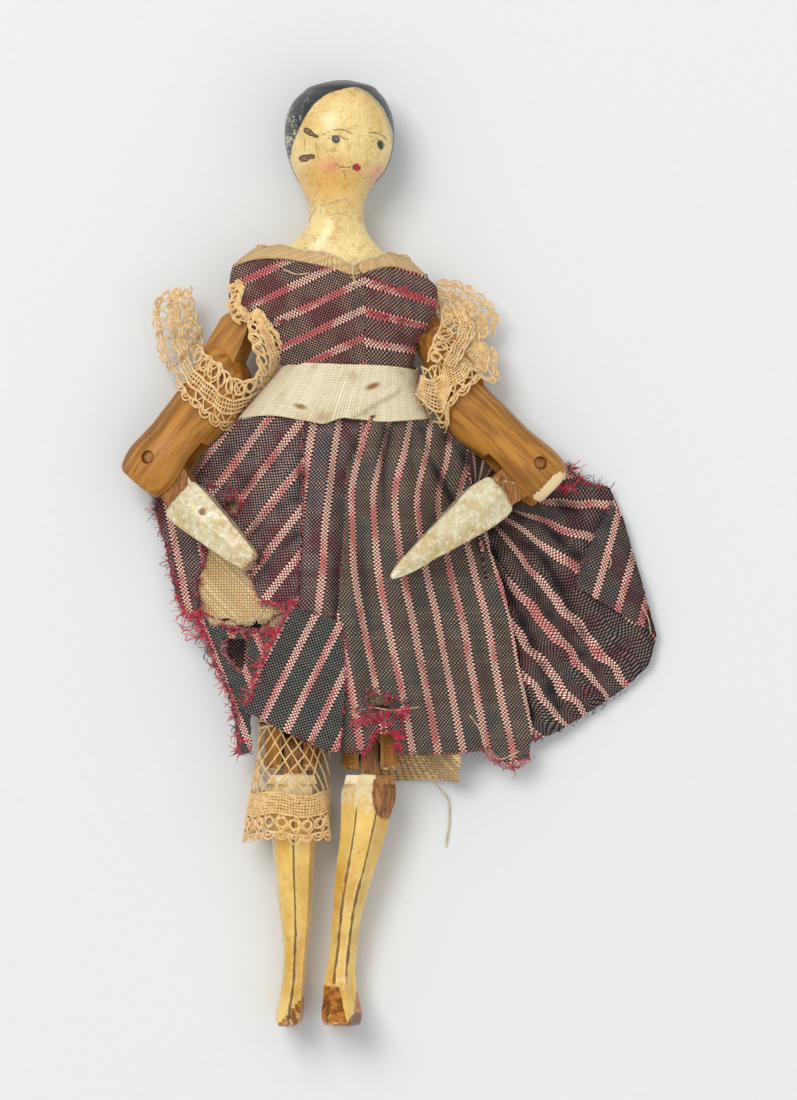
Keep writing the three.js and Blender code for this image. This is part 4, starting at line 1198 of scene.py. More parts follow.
def hollows(height, x, y, reach=2.2):
    """How far height(x, y) lies below its surroundings: more than 0 in a valley."""
    ring = [2 * math.pi * k / 8 for k in range(8)]
    around = sum(height(x + reach * math.cos(a), y + reach * math.sin(a)) for a in ring) / len(ring)
    return around - height(x, y)


def cloth_patch(name, outline, height, weave, material, holes=(), step=0.7, ragged=0.1):
    """Cloth seen from above: cut to an outline, lying at height(x, y), woven by weave(x, y)."""
    edge = dense_outline(outline, ragged, seed=len(name))
    hole_edges = [dense_outline(hole, 0.35, seed=k + 3) for k, hole in enumerate(holes)]
    low, high = edge.min(0) - step, edge.max(0) + step
    x, y = np.meshgrid(np.arange(low[0], high[0] + step, step), np.arange(high[1], low[1] - step, -step))
    middle_x = (x[1:, 1:] + x[:-1, :-1]) / 2
    middle_y = (y[1:, 1:] + y[:-1, :-1]) / 2
    keep = inside(edge, middle_x, middle_y)
    for hole in hole_edges:
        keep &= ~inside(hole, middle_x, middle_y)
    around = np.pad(keep.astype(int), 1)
    count = around[1:, 1:] + around[1:, :-1] + around[:-1, 1:] + around[:-1, :-1]
    targets = np.concatenate([edge, *hole_edges])
    for j, i in zip(*np.nonzero((count > 0) & (count < 4))):
        nearest = targets[np.argmin((targets[:, 0] - x[j, i]) ** 2 + (targets[:, 1] - y[j, i]) ** 2)]
        if np.hypot(*(nearest - (x[j, i], y[j, i]))) < 1.5 * step:
            x[j, i], y[j, i] = nearest
    points = np.stack([x, y, height(x, y)], -1)
    uv = np.stack(weave(x, y), -1)
    verts, faces, uvs = grid_shell(points, uv, keep)
    # The striped cotton paints shade into these valleys and light onto the ridges.
    hollow = hollows(height, verts[:, 0], verts[:, 1])
    return make_object(name, verts, faces, material, uvs, crease=60, attributes={"hollow": hollow})


def surface_cloth(name, surface, weave, across, down, material, thickness=CLOTH_THICKNESS, wrap=False):
    """Cloth over surface(u, v) -> x, y, z for u and v from 0 to 1, woven by weave(x, y, u, v)."""
    us = np.arange(across) / across if wrap else np.linspace(0, 1, across)
    u, v = np.meshgrid(us, np.linspace(0, 1, down))
    points = np.stack(np.broadcast_arrays(*surface(u, v)), -1).astype(float)
    uv = np.stack(np.broadcast_arrays(*weave(points[..., 0], points[..., 1], u, v)), -1)
    verts, faces, uvs = grid_shell(points, uv, thickness=thickness, wrap=wrap)
    return make_object(name, verts, faces, material, uvs, crease=60)


def thread_object(name, threads, materials, body, squash=None):
    """One piece of loose threads, given as (line, radius, colour number)."""
    verts, faces, counts = thread_mesh([(line, radius) for line, radius, _ in threads])
    obj = make_object(name, verts, faces, materials[0])
    for material in materials[1:]:
        obj.data.materials.append(material)
    obj.data.polygons.foreach_set("material_index", np.repeat([number for *_, number in threads], counts))
    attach(obj, body)
    if squash:
        flatten(obj)
    return obj


def frayed(line, height, per_mm, length, side, colours, spread=0.8, lift=0.0):
    """Threads pulled out of a cut edge, on the left of the line's direction where side is 1."""
    total = np.linalg.norm(np.diff(np.asarray(line, float), axis=0), axis=1).sum()
    fine = polyline(line, np.linspace(0, 1, 300))
    ahead = np.gradient(fine, axis=0)
    out = np.stack([-ahead[:, 1], ahead[:, 0]], -1) * side
    out /= np.maximum(np.linalg.norm(out, axis=1, keepdims=True), 1e-9)
    paths, rises = [], []
    for _ in range(int(total * per_mm * FRAY_DENSITY)):
        k = rng.randrange(300)
        tuft = 0.6 + 0.4 * math.sin(k * total / 300 * 2.3 + total)
        reach = length * tuft * rng.choice((0.25, 0.4, 0.5, 0.7, 1.2))
        heading = math.atan2(out[k, 1], out[k, 0]) + rng.gauss(0, spread)
        bend = rng.gauss(0, 0.28)
        here = fine[k] - out[k] * rng.uniform(0.0, 0.6)
        path = []
        for _ in range(FRAY_POINTS):
            path.append(here)
            heading += bend * rng.uniform(0.3, 1.6)
            here = here + np.array([math.cos(heading), math.sin(heading)]) * reach / (FRAY_POINTS - 1)
        paths.append(path)
        rises.append(rng.uniform(0.02, 0.4) + lift)
    paths = np.array(paths)
    arch = np.sin(np.pi * np.arange(FRAY_POINTS) / (FRAY_POINTS - 1) * 0.8)
    z = height(paths[..., 0], paths[..., 1]) + 0.12 + np.outer(rises, arch)
    lines = np.concatenate([paths, np.maximum(z, 0.15)[..., None]], -1)
    return [(path, rng.uniform(0.04, 0.075), rng.choice(colours)) for path in lines]


def frayed_edges(height, rows):
    """Frays of several edges, given as (line, threads per mm, length, side, colours, spread, lift)."""
    return [thread for line, *how in rows for thread in frayed(line, height, *how)]


def loose_thread(points, height, colour_number, radius=0.09):
    """One thread that lies a little over a surface, as a row for thread_object."""
    line = polyline(np.asarray(points, float), np.linspace(0, 1, 24))
    lifted = [(x, y, max(float(height(x, y)) + 0.3, 0.2)) for x, y in line]
    return (lifted, radius, colour_number)


def flatten(obj):
    """Gives a piece of cloth its own copy of its mesh."""
    anchor = metres((0, -6, 3))
    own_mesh(obj)


# Height of the skirt's front over the table, across the doll.
DRAPE = [
    (-30, 2.2), (-22, 5.4), (-15, 10.6), (-10, 14.6), (-5, 15.9), (0, 16.0), (5, 15.9),
    (10, 15.0), (14, 12.1), (18, 9.2), (22, 7.4), (27, 6.0), (34, 5.0), (44, 3.4),
]


# Folds of the skirt's front: (line, depth, half width), each depth times FOLD_DEPTH.
FOLD_DEPTH = 1.25
SKIRT_FOLDS = [
    ([(-6.0, -5.5), (-5.9, -16), (-6.0, -33)], 0.7, 0.5),
    ([(-6.6, -17.6), (-10.4, -19.4), (-14.4, -23.6)], 0.9, 0.9),
    ([(-6.2, -23.0), (-9.6, -26.0), (-12.6, -30.4)], 0.9, 0.9),
    ([(-7.6, -9.0), (-12.0, -13.4), (-17.4, -16.6)], 0.6, 0.9),
    ([(-12.6, -5.6), (-16.8, -9.4), (-20.4, -13.6)], 0.5, 0.8),
    ([(-2.6, -5.8), (-3.3, -19.0), (-3.9, -33)], 0.45, 0.6),
    ([(8.4, -5.2), (7.2, -12), (7.6, -19)], 0.7, 0.7),
    ([(12.0, -5.0), (11.6, -10), (12.4, -16)], 0.6, 0.6),
    ([(13.2, -5.4), (14.9, -11.6), (18.4, -17.8)], 1.3, 0.7),
    ([(17.6, -7.4), (20.4, -11.0), (22.6, -14.0)], 1.0, 0.8),
    ([(10.8, -24), (13.2, -34), (16.8, -46)], 0.45, 1.4),
    ([(20.6, -28), (22.6, -40), (24.4, -53)], 0.5, 1.3),
    ([(4.4, -22), (4.6, -34), (6.4, -45)], 0.4, 1.2),
]


def skirt_height(x, y):
    """Height of the skirt's front: gathered at the waist, with soft folds below."""
    over_waist = TORSO_Z + 6.2 * np.clip(1 - ((x + 0.6) / 15.2) ** 2, 0.01, 1) ** 0.45
    fallen = curve(DRAPE, x)
    base = lerp(over_waist, fallen, smoothstep(-4.5, -12.0, y))
    below_sash = smoothstep(-4.8, -7.5, y)
    gathers = 0.36 * np.sin(x * 1.45 + 0.6 * np.sin(y * 0.2)) * smoothstep(-22.0, -7.0, y) * below_sash
    folds = 0.5 * wobble(x + 0.12 * y, y * 0.3, 3.6, 1.0) + 0.1 * wobble(x, y, 2.3, 2.0)
    return base + gathers + folds + FOLD_DEPTH * creased(x, y, SKIRT_FOLDS) * smoothstep(-4.4, -6.5, y)


# First stripe of the centre panel down the skirt, and the stripes' pitch, by y.
CENTRE_STRIPE = [
    (-5.0, 5.2), (-8.2, 4.4), (-15.1, 2.7), (-21.9, 2.7), (-28.8, 3.0), (-35.7, 4.1), (-45.3, 6.1),
    (-57.4, 8.2),
]
CENTRE_PITCH = [(-5.6, 3.3), (-12, 3.5), (-18, 3.4), (-28, 3.75), (-36, 3.95), (-45, 3.9), (-57, 4.0)]
CENTRE_OUTLINE = [
    (5.4, -4.2), (3.4, -8.6), (1.6, -12.7), (1.0, -23.8), (0.2, -34.9), (-0.1, -42), (-0.2, -49.1),
    (0.1, -57.1), (5.2, -57.5), (6.1, -54.2), (8.9, -54.4), (9.4, -57.5), (14, -57.9), (20, -57.6),
    (24.3, -57.0), (27.2, -59.8), (30.4, -58.4), (31.1, -53.7), (30.2, -49.2), (28.9, -43.6), (27.8, -37),
    (26.3, -31), (24.4, -25.6), (22.7, -17.4), (21.1, -9.6), (17.5, -5.6), (14.2, -4.2),
]
CENTRE_HOLE = [
    (4.6, -48.4), (5.6, -47.7), (7.0, -48.3), (8.4, -47.9), (9.3, -49.4), (9.0, -50.9), (7.4, -51.3),
    (5.6, -51.5), (4.9, -50.2),
]


def skirt_centre(cotton, threads):
    """Centre panel of the skirt's front, with a hole near its hem, frays and loose threads."""
    def height(x, y):
        left_edge = curve([(-5, 5.5), (-13, 2.6), (-35, 1.3), (-57, 3)], y)
        rolled_edge = 1.2 * smoothstep(3.0, 0.4, np.abs(x - left_edge))
        hem = -0.5 * smoothstep(-50, -58, y)
        return skirt_height(x, y) + rolled_edge + hem

    def weave(x, y):
        return STRIPE_PITCH * (1 + (x - curve(CENTRE_STRIPE, y)) / curve(CENTRE_PITCH, y)), y

    panel = cloth_patch("skirt_centre_panel", CENTRE_OUTLINE, height, weave, cotton, [CENTRE_HOLE])
    settle(panel, "torso", "skirt_front_centre", slot="stripe")
    hole = dense_outline(CENTRE_HOLE, step=1.0)
    loops = frayed_edges(height, [
        (hole, 4.0, 1.7, 1, (RED, RED, TEAL, DARK, PINK), 0.8, 0.2),
        ([(2.4, -52.6), (6, -51.8), (11.4, -50.6)], 14.0, 2.2, -1, (RED, RED, RED, RED, TEAL, PINK)),
        ([(3.2, -50.6), (6, -49.9), (11.2, -49.4)], 7.0, 2.0, -1, (RED, TEAL, TEAL, DARK)),
        ([(5.2, -57.2), (6.2, -54.2), (8.8, -54.4), (9.4, -57.3)], 5.0, 1.4, -1, (RED, RED, DARK)),
        ([(8.4, -53.6), (9.6, -55.0), (10.2, -57.2)], 12.0, 1.6, 1, (RED, RED, RED, TEAL)),
        ([(23.4, -57.0), (26, -59.3), (28, -59.9), (30.5, -58.2)], 8.0, 1.8, 1, (RED, RED, TEAL, PINK)),
        ([(9.4, -57.4), (16, -57.9), (24, -57.3)], 1.8, 0.7, -1, (DARK, RED)),
        ([(4.0, -7.4), (1.8, -12.7), (1.1, -23.8), (0.4, -34.9)], 1.6, 0.5, -1, (RED, DARK, DARK)),
        ([(2.1, -57.0), (5.2, -57.4)], 5.0, 1.2, -1, (RED, DARK)),
    ])
    loops.append(loose_thread([(2.0, -51.0), (5.4, -50.2), (8.6, -50.6), (13.0, -50.2)], height, CREAM))
    long_thread = [(21.0, -51.6), (22.4, -53.4), (24.0, -57.6), (25.6, -58.6), (29.0, -57.4)]
    loops.append(loose_thread(long_thread, height, CREAM))
    red_thread = [(10.6, -49.0), (11.4, -50.4), (10.2, -52.8), (11.0, -54.6)]
    loops.append(loose_thread(red_thread, height, RED, 0.08))
    thread_object("skirt_centre_frays", loops, threads, "torso", "hip_right")
    flatten(panel)


PLEAT_STRIPE = [(-5.8, 0.6), (-11.6, -0.4), (-16.1, -0.95), (-22, -1.6), (-28.8, -2.0), (-37.4, -2.9)]
PLEAT_OUTLINE = [
    (-7.0, -4.3), (-6.4, -12), (-6.6, -20), (-6.4, -28), (-6.6, -35.6), (-3.0, -37.4), (0.2, -37.8),
    (3.4, -36.4), (4.4, -24), (5.4, -13), (7.0, -7), (7.6, -4.2),
]
UPPER_LEFT_OUTLINE = [
    (-15.6, -4.5), (-10.4, -4.2), (-5.2, -4.2), (-5.2, -12), (-5.4, -20), (-5.7, -28), (-6.0, -33.3),
    (-9.0, -34.2), (-11.9, -33.6), (-13.6, -29.8), (-15.6, -26.8), (-18.4, -24.4), (-20.2, -21.6),
    (-22.2, -18.4), (-23.3, -14.0), (-21.6, -10.6), (-18.2, -7.2),
]
LEFT_HOLES = [
    [(-17.6, -17.4), (-16.4, -16.9), (-15.4, -17.8), (-15.6, -19.3), (-16.8, -20.0), (-17.7, -19.0)],
    [(-13.6, -26.2), (-12.4, -25.6), (-11.8, -26.6), (-12.6, -27.8)],
]


def skirt_left(cotton, threads):
    """Pleat down the skirt's front, and the torn part to the left of it."""
    def pleat_height(x, y):
        valley = (0.7 + 0.9 * smoothstep(-6, -12, y)) * smoothstep(-2.4, 1.6, x)
        return skirt_height(x, y) - valley - 0.35 * smoothstep(-4.6, -6.6, x)

    def pleat_weave(x, y):
        return x - curve(PLEAT_STRIPE, y), y

    pleat = cloth_patch("skirt_pleat", PLEAT_OUTLINE, pleat_height, pleat_weave, cotton)
    settle(pleat, "torso", slot="stripe")

    def height(x, y):
        edge = smoothstep(-8.0, -5.4, x)
        return skirt_height(x, y) + 0.5 * edge - 0.5 * smoothstep(-19, -24, x)

    def weave(x, y):
        return (0.785 * x - 0.62 * y - 7.7) * STRIPE_PITCH / 4.3, 0.62 * x + 0.785 * y

    panel = cloth_patch("skirt_upper_left", UPPER_LEFT_OUTLINE, height, weave, cotton, LEFT_HOLES)
    settle(panel, "torso", "skirt_front_left", slot="stripe")
    loops = frayed_edges(height, [
        ([(-5.2, -6), (-5.4, -20), (-6.0, -33.2)], 2.2, 0.8, 1, (RED, RED, DARK), 0.9),
        ([(-23.2, -14), (-21.8, -19), (-18.4, -24.4), (-15.4, -27), (-12.0, -33.6)], 5.0, 1.5, -1,
         (RED, RED, TEAL, PINK, DARK)),
        ([(-12, -33.6), (-9, -34.2), (-6, -33.4)], 8.0, 2.2, -1, (RED, RED, RED, PINK, TEAL)),
    ])
    for hole in LEFT_HOLES:
        loops += frayed(dense_outline(hole, step=1.0), height, 5.0, 1.6, 1, (RED, RED, TEAL, DARK), lift=0.2)
    loops += frayed_edges(height, [
        ([(-20.5, -15.2), (-18, -15.6), (-14.6, -16.2)], 5.0, 1.7, -1, (TEAL, RED, DARK, RED)),
        ([(-6.6, -34.4), (-3, -35.5), (0.2, -35.7)], 2.0, 0.8, -1, (RED, DARK)),
    ])
    thread_object("skirt_left_frays", loops, threads, "torso", "hip_left")
    flatten(pleat)
    flatten(panel)


PATCH_OUTLINE = [
    (-7.1, -34.2), (-3.5, -35.6), (1.0, -36.7), (1.6, -46), (0.5, -57.2), (-2.2, -56.9), (-4.2, -55.9),
    (-7.7, -54.2), (-11.1, -52.4), (-14.3, -50.8), (-14.2, -49.2), (-11.9, -43.1), (-9.5, -38.2),
]
RAG_HOLE = [(-18.2, -39.6), (-14.4, -39.4), (-13.6, -42.4), (-15.0, -44.6), (-17.4, -42.4)]
RAG_OUTLINE = [
    (-22.9, -35.2), (-21.2, -36.4), (-19, -36.8), (-17.2, -38.6), (-13.6, -38.6), (-9.0, -38.0),
    (-8.6, -42), (-12.0, -48), (-13.8, -52), (-13.6, -57.4), (-15.6, -57.9), (-16.2, -51.6), (-17.6, -47.4),
    (-19.6, -43.4), (-20.6, -39.6),
]


def skirt_patch(cotton, threads):
    """The torn lower left part, folded up over the leg, and the rags beside it."""
    def height(x, y):
        fold = 0.35 * wobble(x, y, 4.0, 4.0)
        return curve([(-16, 12.9), (-10, 15.4), (-4, 16.9), (1, 17.5)], x) + fold - 0.02 * (y + 36)

    def weave(x, y):
        return (0.89 * x - 0.45 * y - 13.35) * STRIPE_PITCH / 4.1, 0.45 * x + 0.89 * y

    patch = cloth_patch("skirt_folded_patch_look", PATCH_OUTLINE, height, weave, cotton)
    settle(patch, "torso", "skirt_folded_patch", slot="stripe")

    def rag_height(x, y):
        return curve([(-24, 3.4), (-19, 6.2), (-14, 9.8), (-9, 13.4)], x) + 0.5 * wobble(x, y, 2.6, 6.0)

    def rag_weave(x, y):
        return x + 0.4 * y, y - 0.4 * x

    rags = cloth_patch("skirt_rags", RAG_OUTLINE, rag_height, rag_weave, cotton, [RAG_HOLE], ragged=0.35)
    settle(rags, "torso", slot="stripe")

    loops = frayed_edges(height, [
        ([(-7.2, -34.4), (-9.6, -38.4), (-12, -43.2), (-14.3, -49.6)], 9.0, 1.9, -1,
         (RED, RED, RED, PINK, TEAL)),
        ([(-14.3, -50.8), (-11.1, -52.4), (-7.7, -54.2), (-4.2, -55.9), (-0.4, -57.2)], 1.2, 0.7, -1,
         (DARK, RED)),
        ([(1.1, -37), (1.7, -46), (0.7, -57)], 2.4, 0.7, 1, (RED, RED, DARK)),
    ])
    thread_object("skirt_patch_frays", loops, threads, "torso", "hip_left")
    rag_line = [
        (-22.9, -35.2), (-21.0, -39.6), (-19.6, -43.4), (-17.6, -47.4), (-16.2, -51.6), (-15.6, -57.9),
    ]
    loops = frayed_edges(rag_height, [
        (rag_line, 10.0, 2.0, -1, (RED, RED, RED, TEAL, DARK, PINK)),
        ([(-22.6, -35.4), (-19.0, -36.8), (-14, -38.4), (-9.4, -38)], 9.0, 2.0, -1, (RED, RED, PINK, TEAL)),
        ([(-15.8, -57.6), (-13.6, -57.6)], 6.0, 1.4, -1, (TEAL, RED, TEAL)),
        ([(-18.2, -40.0), (-17.4, -42.4), (-15.0, -44.8)], 7.0, 1.8, 1, (RED, PINK, TEAL)),
    ])
    for k in range(5):
        y = -37.6 - 0.5 * k
        sag = rng.uniform(-0.7, 0.7)
        line = [(-20.6, y), (-22.6, y - 0.3 + sag), (-24.2, y + 0.4 - sag), (-25.6 + 0.4 * k, y + sag)]
        loops.append(loose_thread(line, rag_height, RED, 0.08))
    thread_object("skirt_rag_frays", loops, threads, "torso", "hip_left")
    flatten(patch)
    flatten(rags)


STRIP_OUTLINE = [
    (-26.6, -15.6), (-29.3, -17.8), (-28.6, -21), (-27.6, -24), (-26.8, -27.6), (-26.2, -30.2),
    (-25.2, -34.2), (-23.4, -35.8), (-21.8, -35.0), (-22.2, -31), (-21.2, -27.4), (-20.6, -25.0),
    (-22.8, -21.4), (-24.0, -17.0), (-24.6, -14.6),
]


def skirt_strip(cotton, threads):
    """Torn strip at the left edge of the skirt."""
    def height(x, y):
        return 2.6 + 0.42 * (x + 28) + 0.35 * wobble(x, y, 2.4, 8.0)

    def weave(x, y):
        return 0.96 * x + 0.2 * y + 1.4, y

    strip = cloth_patch("skirt_strip_look", STRIP_OUTLINE, height, weave, cotton, ragged=0.25)
    settle(strip, "torso", "skirt_strip_left", slot="stripe")
    outer = [(-26.6, -15.4), (-29.4, -18.0), (-28.4, -21.4), (-27.5, -24.4), (-26.2, -30.4), (-25.2, -34.4)]
    loops = frayed_edges(height, [
        (outer, 6.0, 1.6, -1, (RED, RED, TEAL, TEAL, PINK, DARK)),
        ([(-24.4, -14.8), (-23.6, -19), (-21, -25.2), (-22.2, -31), (-21.8, -35)], 4.0, 1.3, 1,
         (RED, RED, TEAL, DARK)),
        ([(-25.2, -34.2), (-23.4, -36.0), (-21.8, -35.2)], 12.0, 2.4, -1, (RED, RED, RED, PINK)),
        ([(-26.8, -15.2), (-24.6, -14.4)], 8.0, 1.8, 1, (RED, RED, TEAL)),
    ])
    thread_object("skirt_strip_frays", loops, threads, "torso")


FAN_POLE = (21.9, -16.8)      # where the fan's stripes meet
FAN_TURN = -51                # bearing in degrees below which the stripes run parallel
FAN_RIM_POINTS = 55
FAN_OUTLINE = [
    (20.5, -9.8), (24.0, -10.8), (30.0, -12.8), (34.5, -13.4), (36.7, -12.2), (39.2, -14.2), (43.5, -15.5),
    (45.4, -20.0), (47.6, -27.5), (49.5, -34.2), (51.0, -39.1), (49.8, -43.6), (46.1, -47.3), (42.7, -49.6),
    (39.4, -51.8), (35.6, -54.1), (31.5, -55.8), (29.4, -55.2), (27.6, -48), (26.0, -40), (23.6, -30),
    (22.0, -20),
]
FLAP_OUTLINE = [
    (43.7, -18.2), (41.6, -22.0), (39.7, -25.6), (38.7, -28.4), (37.9, -31.2), (43.0, -34.3), (49.1, -37.9),
    (50.9, -39.2), (49.6, -34.2), (47.7, -27.5), (45.5, -20.0),
]


FAN_FOLDS = [
    ([(24.4, -19.6), (33.3, -27.4), (39.3, -39.4)], 1.3, 0.9),
    ([(23.2, -22.4), (28.6, -35.2), (35.4, -50.4)], 1.5, 1.0),
    ([(26.0, -18.4), (33.0, -22.0), (38.6, -26.4)], 1.2, 0.9),
    ([(24.2, -26.0), (27.0, -38.0), (30.4, -52.0)], 1.3, 1.0),
    ([(30.0, -30.4), (36.0, -38.6), (42.6, -45.6)], 0.9, 0.9),
    ([(27.4, -14.6), (32.6, -16.8), (38.4, -19.0)], 0.8, 0.8),
]


def skirt_fan(cotton, threads):
    """Part of the skirt that fans out to the right, and the flap that is folded over on it."""
    # The outer edge, cut off just after its outline has turned back across the fan.
    rim_line = dense_outline(FAN_OUTLINE[4:17], step=1.0)[:FAN_RIM_POINTS]

    def edge_reach(x, y):
        """Distance in from the fan's outer edge."""
        x, y = np.broadcast_arrays(np.asarray(x, float), np.asarray(y, float))
        return np.hypot(x[..., None] - rim_line[:, 0], y[..., None] - rim_line[:, 1]).min(-1)

    def base_height(x, y):
        under_arm = 5.0 * smoothstep(26, 20, x)
        folds = 0.75 * np.sin(np.degrees(np.arctan2(y - FAN_POLE[1], x - FAN_POLE[0])) / 8.0)
        ripples = 0.7 * wobble(x, y, 3.4, 3.0) + 0.3 * wobble(x, y, 1.5, 5.0)
        lie = lerp(4.8, 2.8, smoothstep(28, 46, x))
        rim = -0.9 * smoothstep(3.0, 0.0, edge_reach(x, y))
        relief = folds + ripples + creased(x, y, FAN_FOLDS)
        return lie + under_arm + relief * smoothstep(0, 5, edge_reach(x, y) + 1.5) + rim

    def weave(x, y):
        dx, dy = x - FAN_POLE[0], y - FAN_POLE[1]
        reach = np.hypot(dx, dy)
        bearing = np.degrees(np.arctan2(dy, dx)) + 1.6 * wobble(x, y, 3.6, 7.0)
        spread = (bearing - FAN_TURN) / 16 * STRIPE_PITCH
        parallel = -reach * np.sin(np.radians(FAN_TURN - bearing))
        return np.where(bearing > FAN_TURN, spread, parallel), reach

    fan = cloth_patch("skirt_fan_look", FAN_OUTLINE, base_height, weave, cotton)
    settle(fan, "torso", "skirt_fan_right", slot="stripe")

    def flap_height(x, y):
        crease = np.clip(0.9 * smoothstep(0, 3.0, (x - 37.9) * 0.85), 0, 1)
        rise = 0.9 * crease * smoothstep(0, 4, edge_reach(x, y))
        return base_height(x, y) + 0.5 + rise + 0.25 * wobble(x, y, 3.0, 9.0)

    def flap_weave(x, y):
        return (0.96 * (x - 45) - 0.28 * (y + 20)) * STRIPE_PITCH / 4.1, 0.28 * x + 0.96 * y

    flap = cloth_patch("skirt_flap", FLAP_OUTLINE, flap_height, flap_weave, cotton, step=0.6)
    settle(flap, "torso", slot="stripe")
    top = [(31.5, -13.2), (34.5, -13.6), (36.7, -12.2), (38.8, -14.2), (43.6, -15.4)]
    loops = frayed_edges(base_height, [
        (top, 7.0, 1.7, 1, (RED, RED, RED, TEAL, PINK, DARK)),
        ([(33.0, -14.4), (35.4, -15.2), (38.0, -15.6)], 12.0, 1.5, 1, (RED, RED, PINK), 1.2),
        ([(35.8, -12.8), (36.7, -11.9), (37.6, -12.8)], 6.0, 2.4, 1, (RED, RED, TEAL)),
        ([(46.0, -47.4), (39.4, -51.9), (31.5, -55.8)], 1.4, 0.8, -1, (RED, DARK, DARK)),
        ([(31.6, -55.6), (29.5, -55.3)], 8.0, 1.6, -1, (RED, TEAL)),
    ])
    loops += frayed([(43.8, -17.6), (41.4, -22), (38.0, -31)], flap_height, 1.8, 0.8, -1, (RED, DARK, TEAL))
    loops.append(loose_thread([(48.4, -34.0), (49.6, -36.4), (50.0, -38.8)], flap_height, CREAM, 0.08))
    loops.append(loose_thread([(43.0, -26.0), (43.6, -27.4), (43.2, -28.4)], flap_height, CREAM, 0.08))
    thread_object("skirt_fan_frays", loops, threads, "torso")


BACK_OUTLINE = [
    (-11, -6), (-21, -13), (-27.5, -19), (-25, -31), (-20, -41), (-15, -50), (-11.5, -52.4), (12, -53.6),
    (31, -54.6), (38, -51.5), (46, -46), (49.4, -41.5), (48, -35), (43.5, -20.5), (38.5, -14.5), (24, -11),
    (11, -6),
]


def skirt_back(cotton):
    """Back of the skirt, flat on the table under the legs."""
    def height(x, y):
        return 0.3 + 0.22 * (1 + wobble(x, y, 4.0, 2.0)) * 0.5

    def weave(x, y):
        return x - 0.05 * y, y

    back = cloth_patch("skirt_back_look", BACK_OUTLINE, height, weave, cotton, step=1.0)
    settle(back, "torso", "skirt_back", slot="stripe")


def petticoat(linen, threads):
    """Linen petticoat under the skirt's front, frayed at its lower left."""
    outline = [
        (-9.0, -6.4), (-14.0, -12), (-20.6, -20), (-22.0, -25.4), (-22.2, -30), (-21.8, -35.0),
        (-20.0, -36.6), (-17.4, -36.2), (-14.4, -37.0), (-12, -36.2), (-6, -34.6), (2, -33.6), (11.5, -33),
        (12.6, -20), (10.5, -6.4),
    ]

    def height(x, y):
        below_pleat = 1.9 * np.exp(-((x - 2.0) / 4.0) ** 2)
        under_hole = 2.6 * np.exp(-((x + 16.6) ** 2 + (y + 18.4) ** 2) / 9)
        under_skirt = np.minimum(skirt_height(x, y) - 1.2, 14.7)
        return under_skirt - below_pleat - under_hole + 0.15 * wobble(x, y, 2.2, 3.0)

    piece = cloth_patch("petticoat_look", outline, height, lambda x, y: (x, y), linen, ragged=0.2)
    settle(piece, "torso", "petticoat", slot="linen")
    loops = frayed_edges(height, [
        ([(-22.2, -31), (-21.8, -35.2), (-20, -36.7), (-14.4, -37.0), (-10, -35.8)], 14.0, 1.1, -1,
         (CREAM,), 1.0),
        ([(-22.0, -25.4), (-22.2, -31)], 3.0, 1.0, -1, (CREAM,)),
    ])
    thread_object("petticoat_frays", loops, threads, "torso", "hip_left")
    flatten(piece)


# ---- bodice, tapes and sash ----------------------------------------------------------

# (y, centre x, half width, half depth)
BODICE_STATIONS = [
    (3.4, 1.8, 10.2, 6.2), (4.2, 1.6, 10.6, 6.3), (8.0, 0.6, 12.6, 6.9), (12.0, -0.2, 16.0, 7.2),
    (17.5, -0.6, 16.4, 6.9), (20.6, -0.8, 15.4, 6.0),
]
# Height up the doll of the bodice's top edge, by x.
NECKLINE = [
    (-17.3, 19.4), (-15, 20.3), (-12, 20.9), (-6, 20.3), (0, 19.0), (2.6, 17.9), (6, 19.1), (9, 19.6),
    (12, 18.8), (14.2, 17.4), (15.6, 15.6), (16.2, 14.0),
]
SEAM_X = 2.7


def oval_point(t, centre, width, depth, roundness=0.8):
    """x and z of a point of a rounded section of the body, at angle t from its right side."""
    c, s = np.cos(t), np.sin(t)
    return (centre + width * np.sign(c) * np.abs(c) ** roundness,
            TORSO_Z + depth * np.sign(s) * np.abs(s) ** roundness)


def bodice_section(y):
    """Centre, half width and half depth of the bodice at a height up the doll."""
    return [curve([(row[0], row[k]) for row in BODICE_STATIONS], y) for k in (1, 2, 3)]


def bodice_surface(from_degrees, to_degrees, ease=0.0):
    """Bodice between two angles round the body: 0 is its right side and 90 its front."""
    def surface(u, v):
        t = np.radians(lerp(from_degrees, to_degrees, u))
        x_top, _ = oval_point(t, -0.6, 16.3, 6.5)
        top = np.where(np.sin(t) > -0.1, curve(NECKLINE, x_top), 18.5)
        y = lerp(top, 3.4, v)
        centre, width, depth = bodice_section(y)
        x, z = oval_point(t, centre, width + ease, depth + ease)
        pucker = 0.22 * wobble(x, y, 2.0, 1.0) + 0.18 * np.sin(x * 1.9) * smoothstep(9, 4, y)
        return x, y, z + pucker * np.sign(np.sin(t))
    return surface


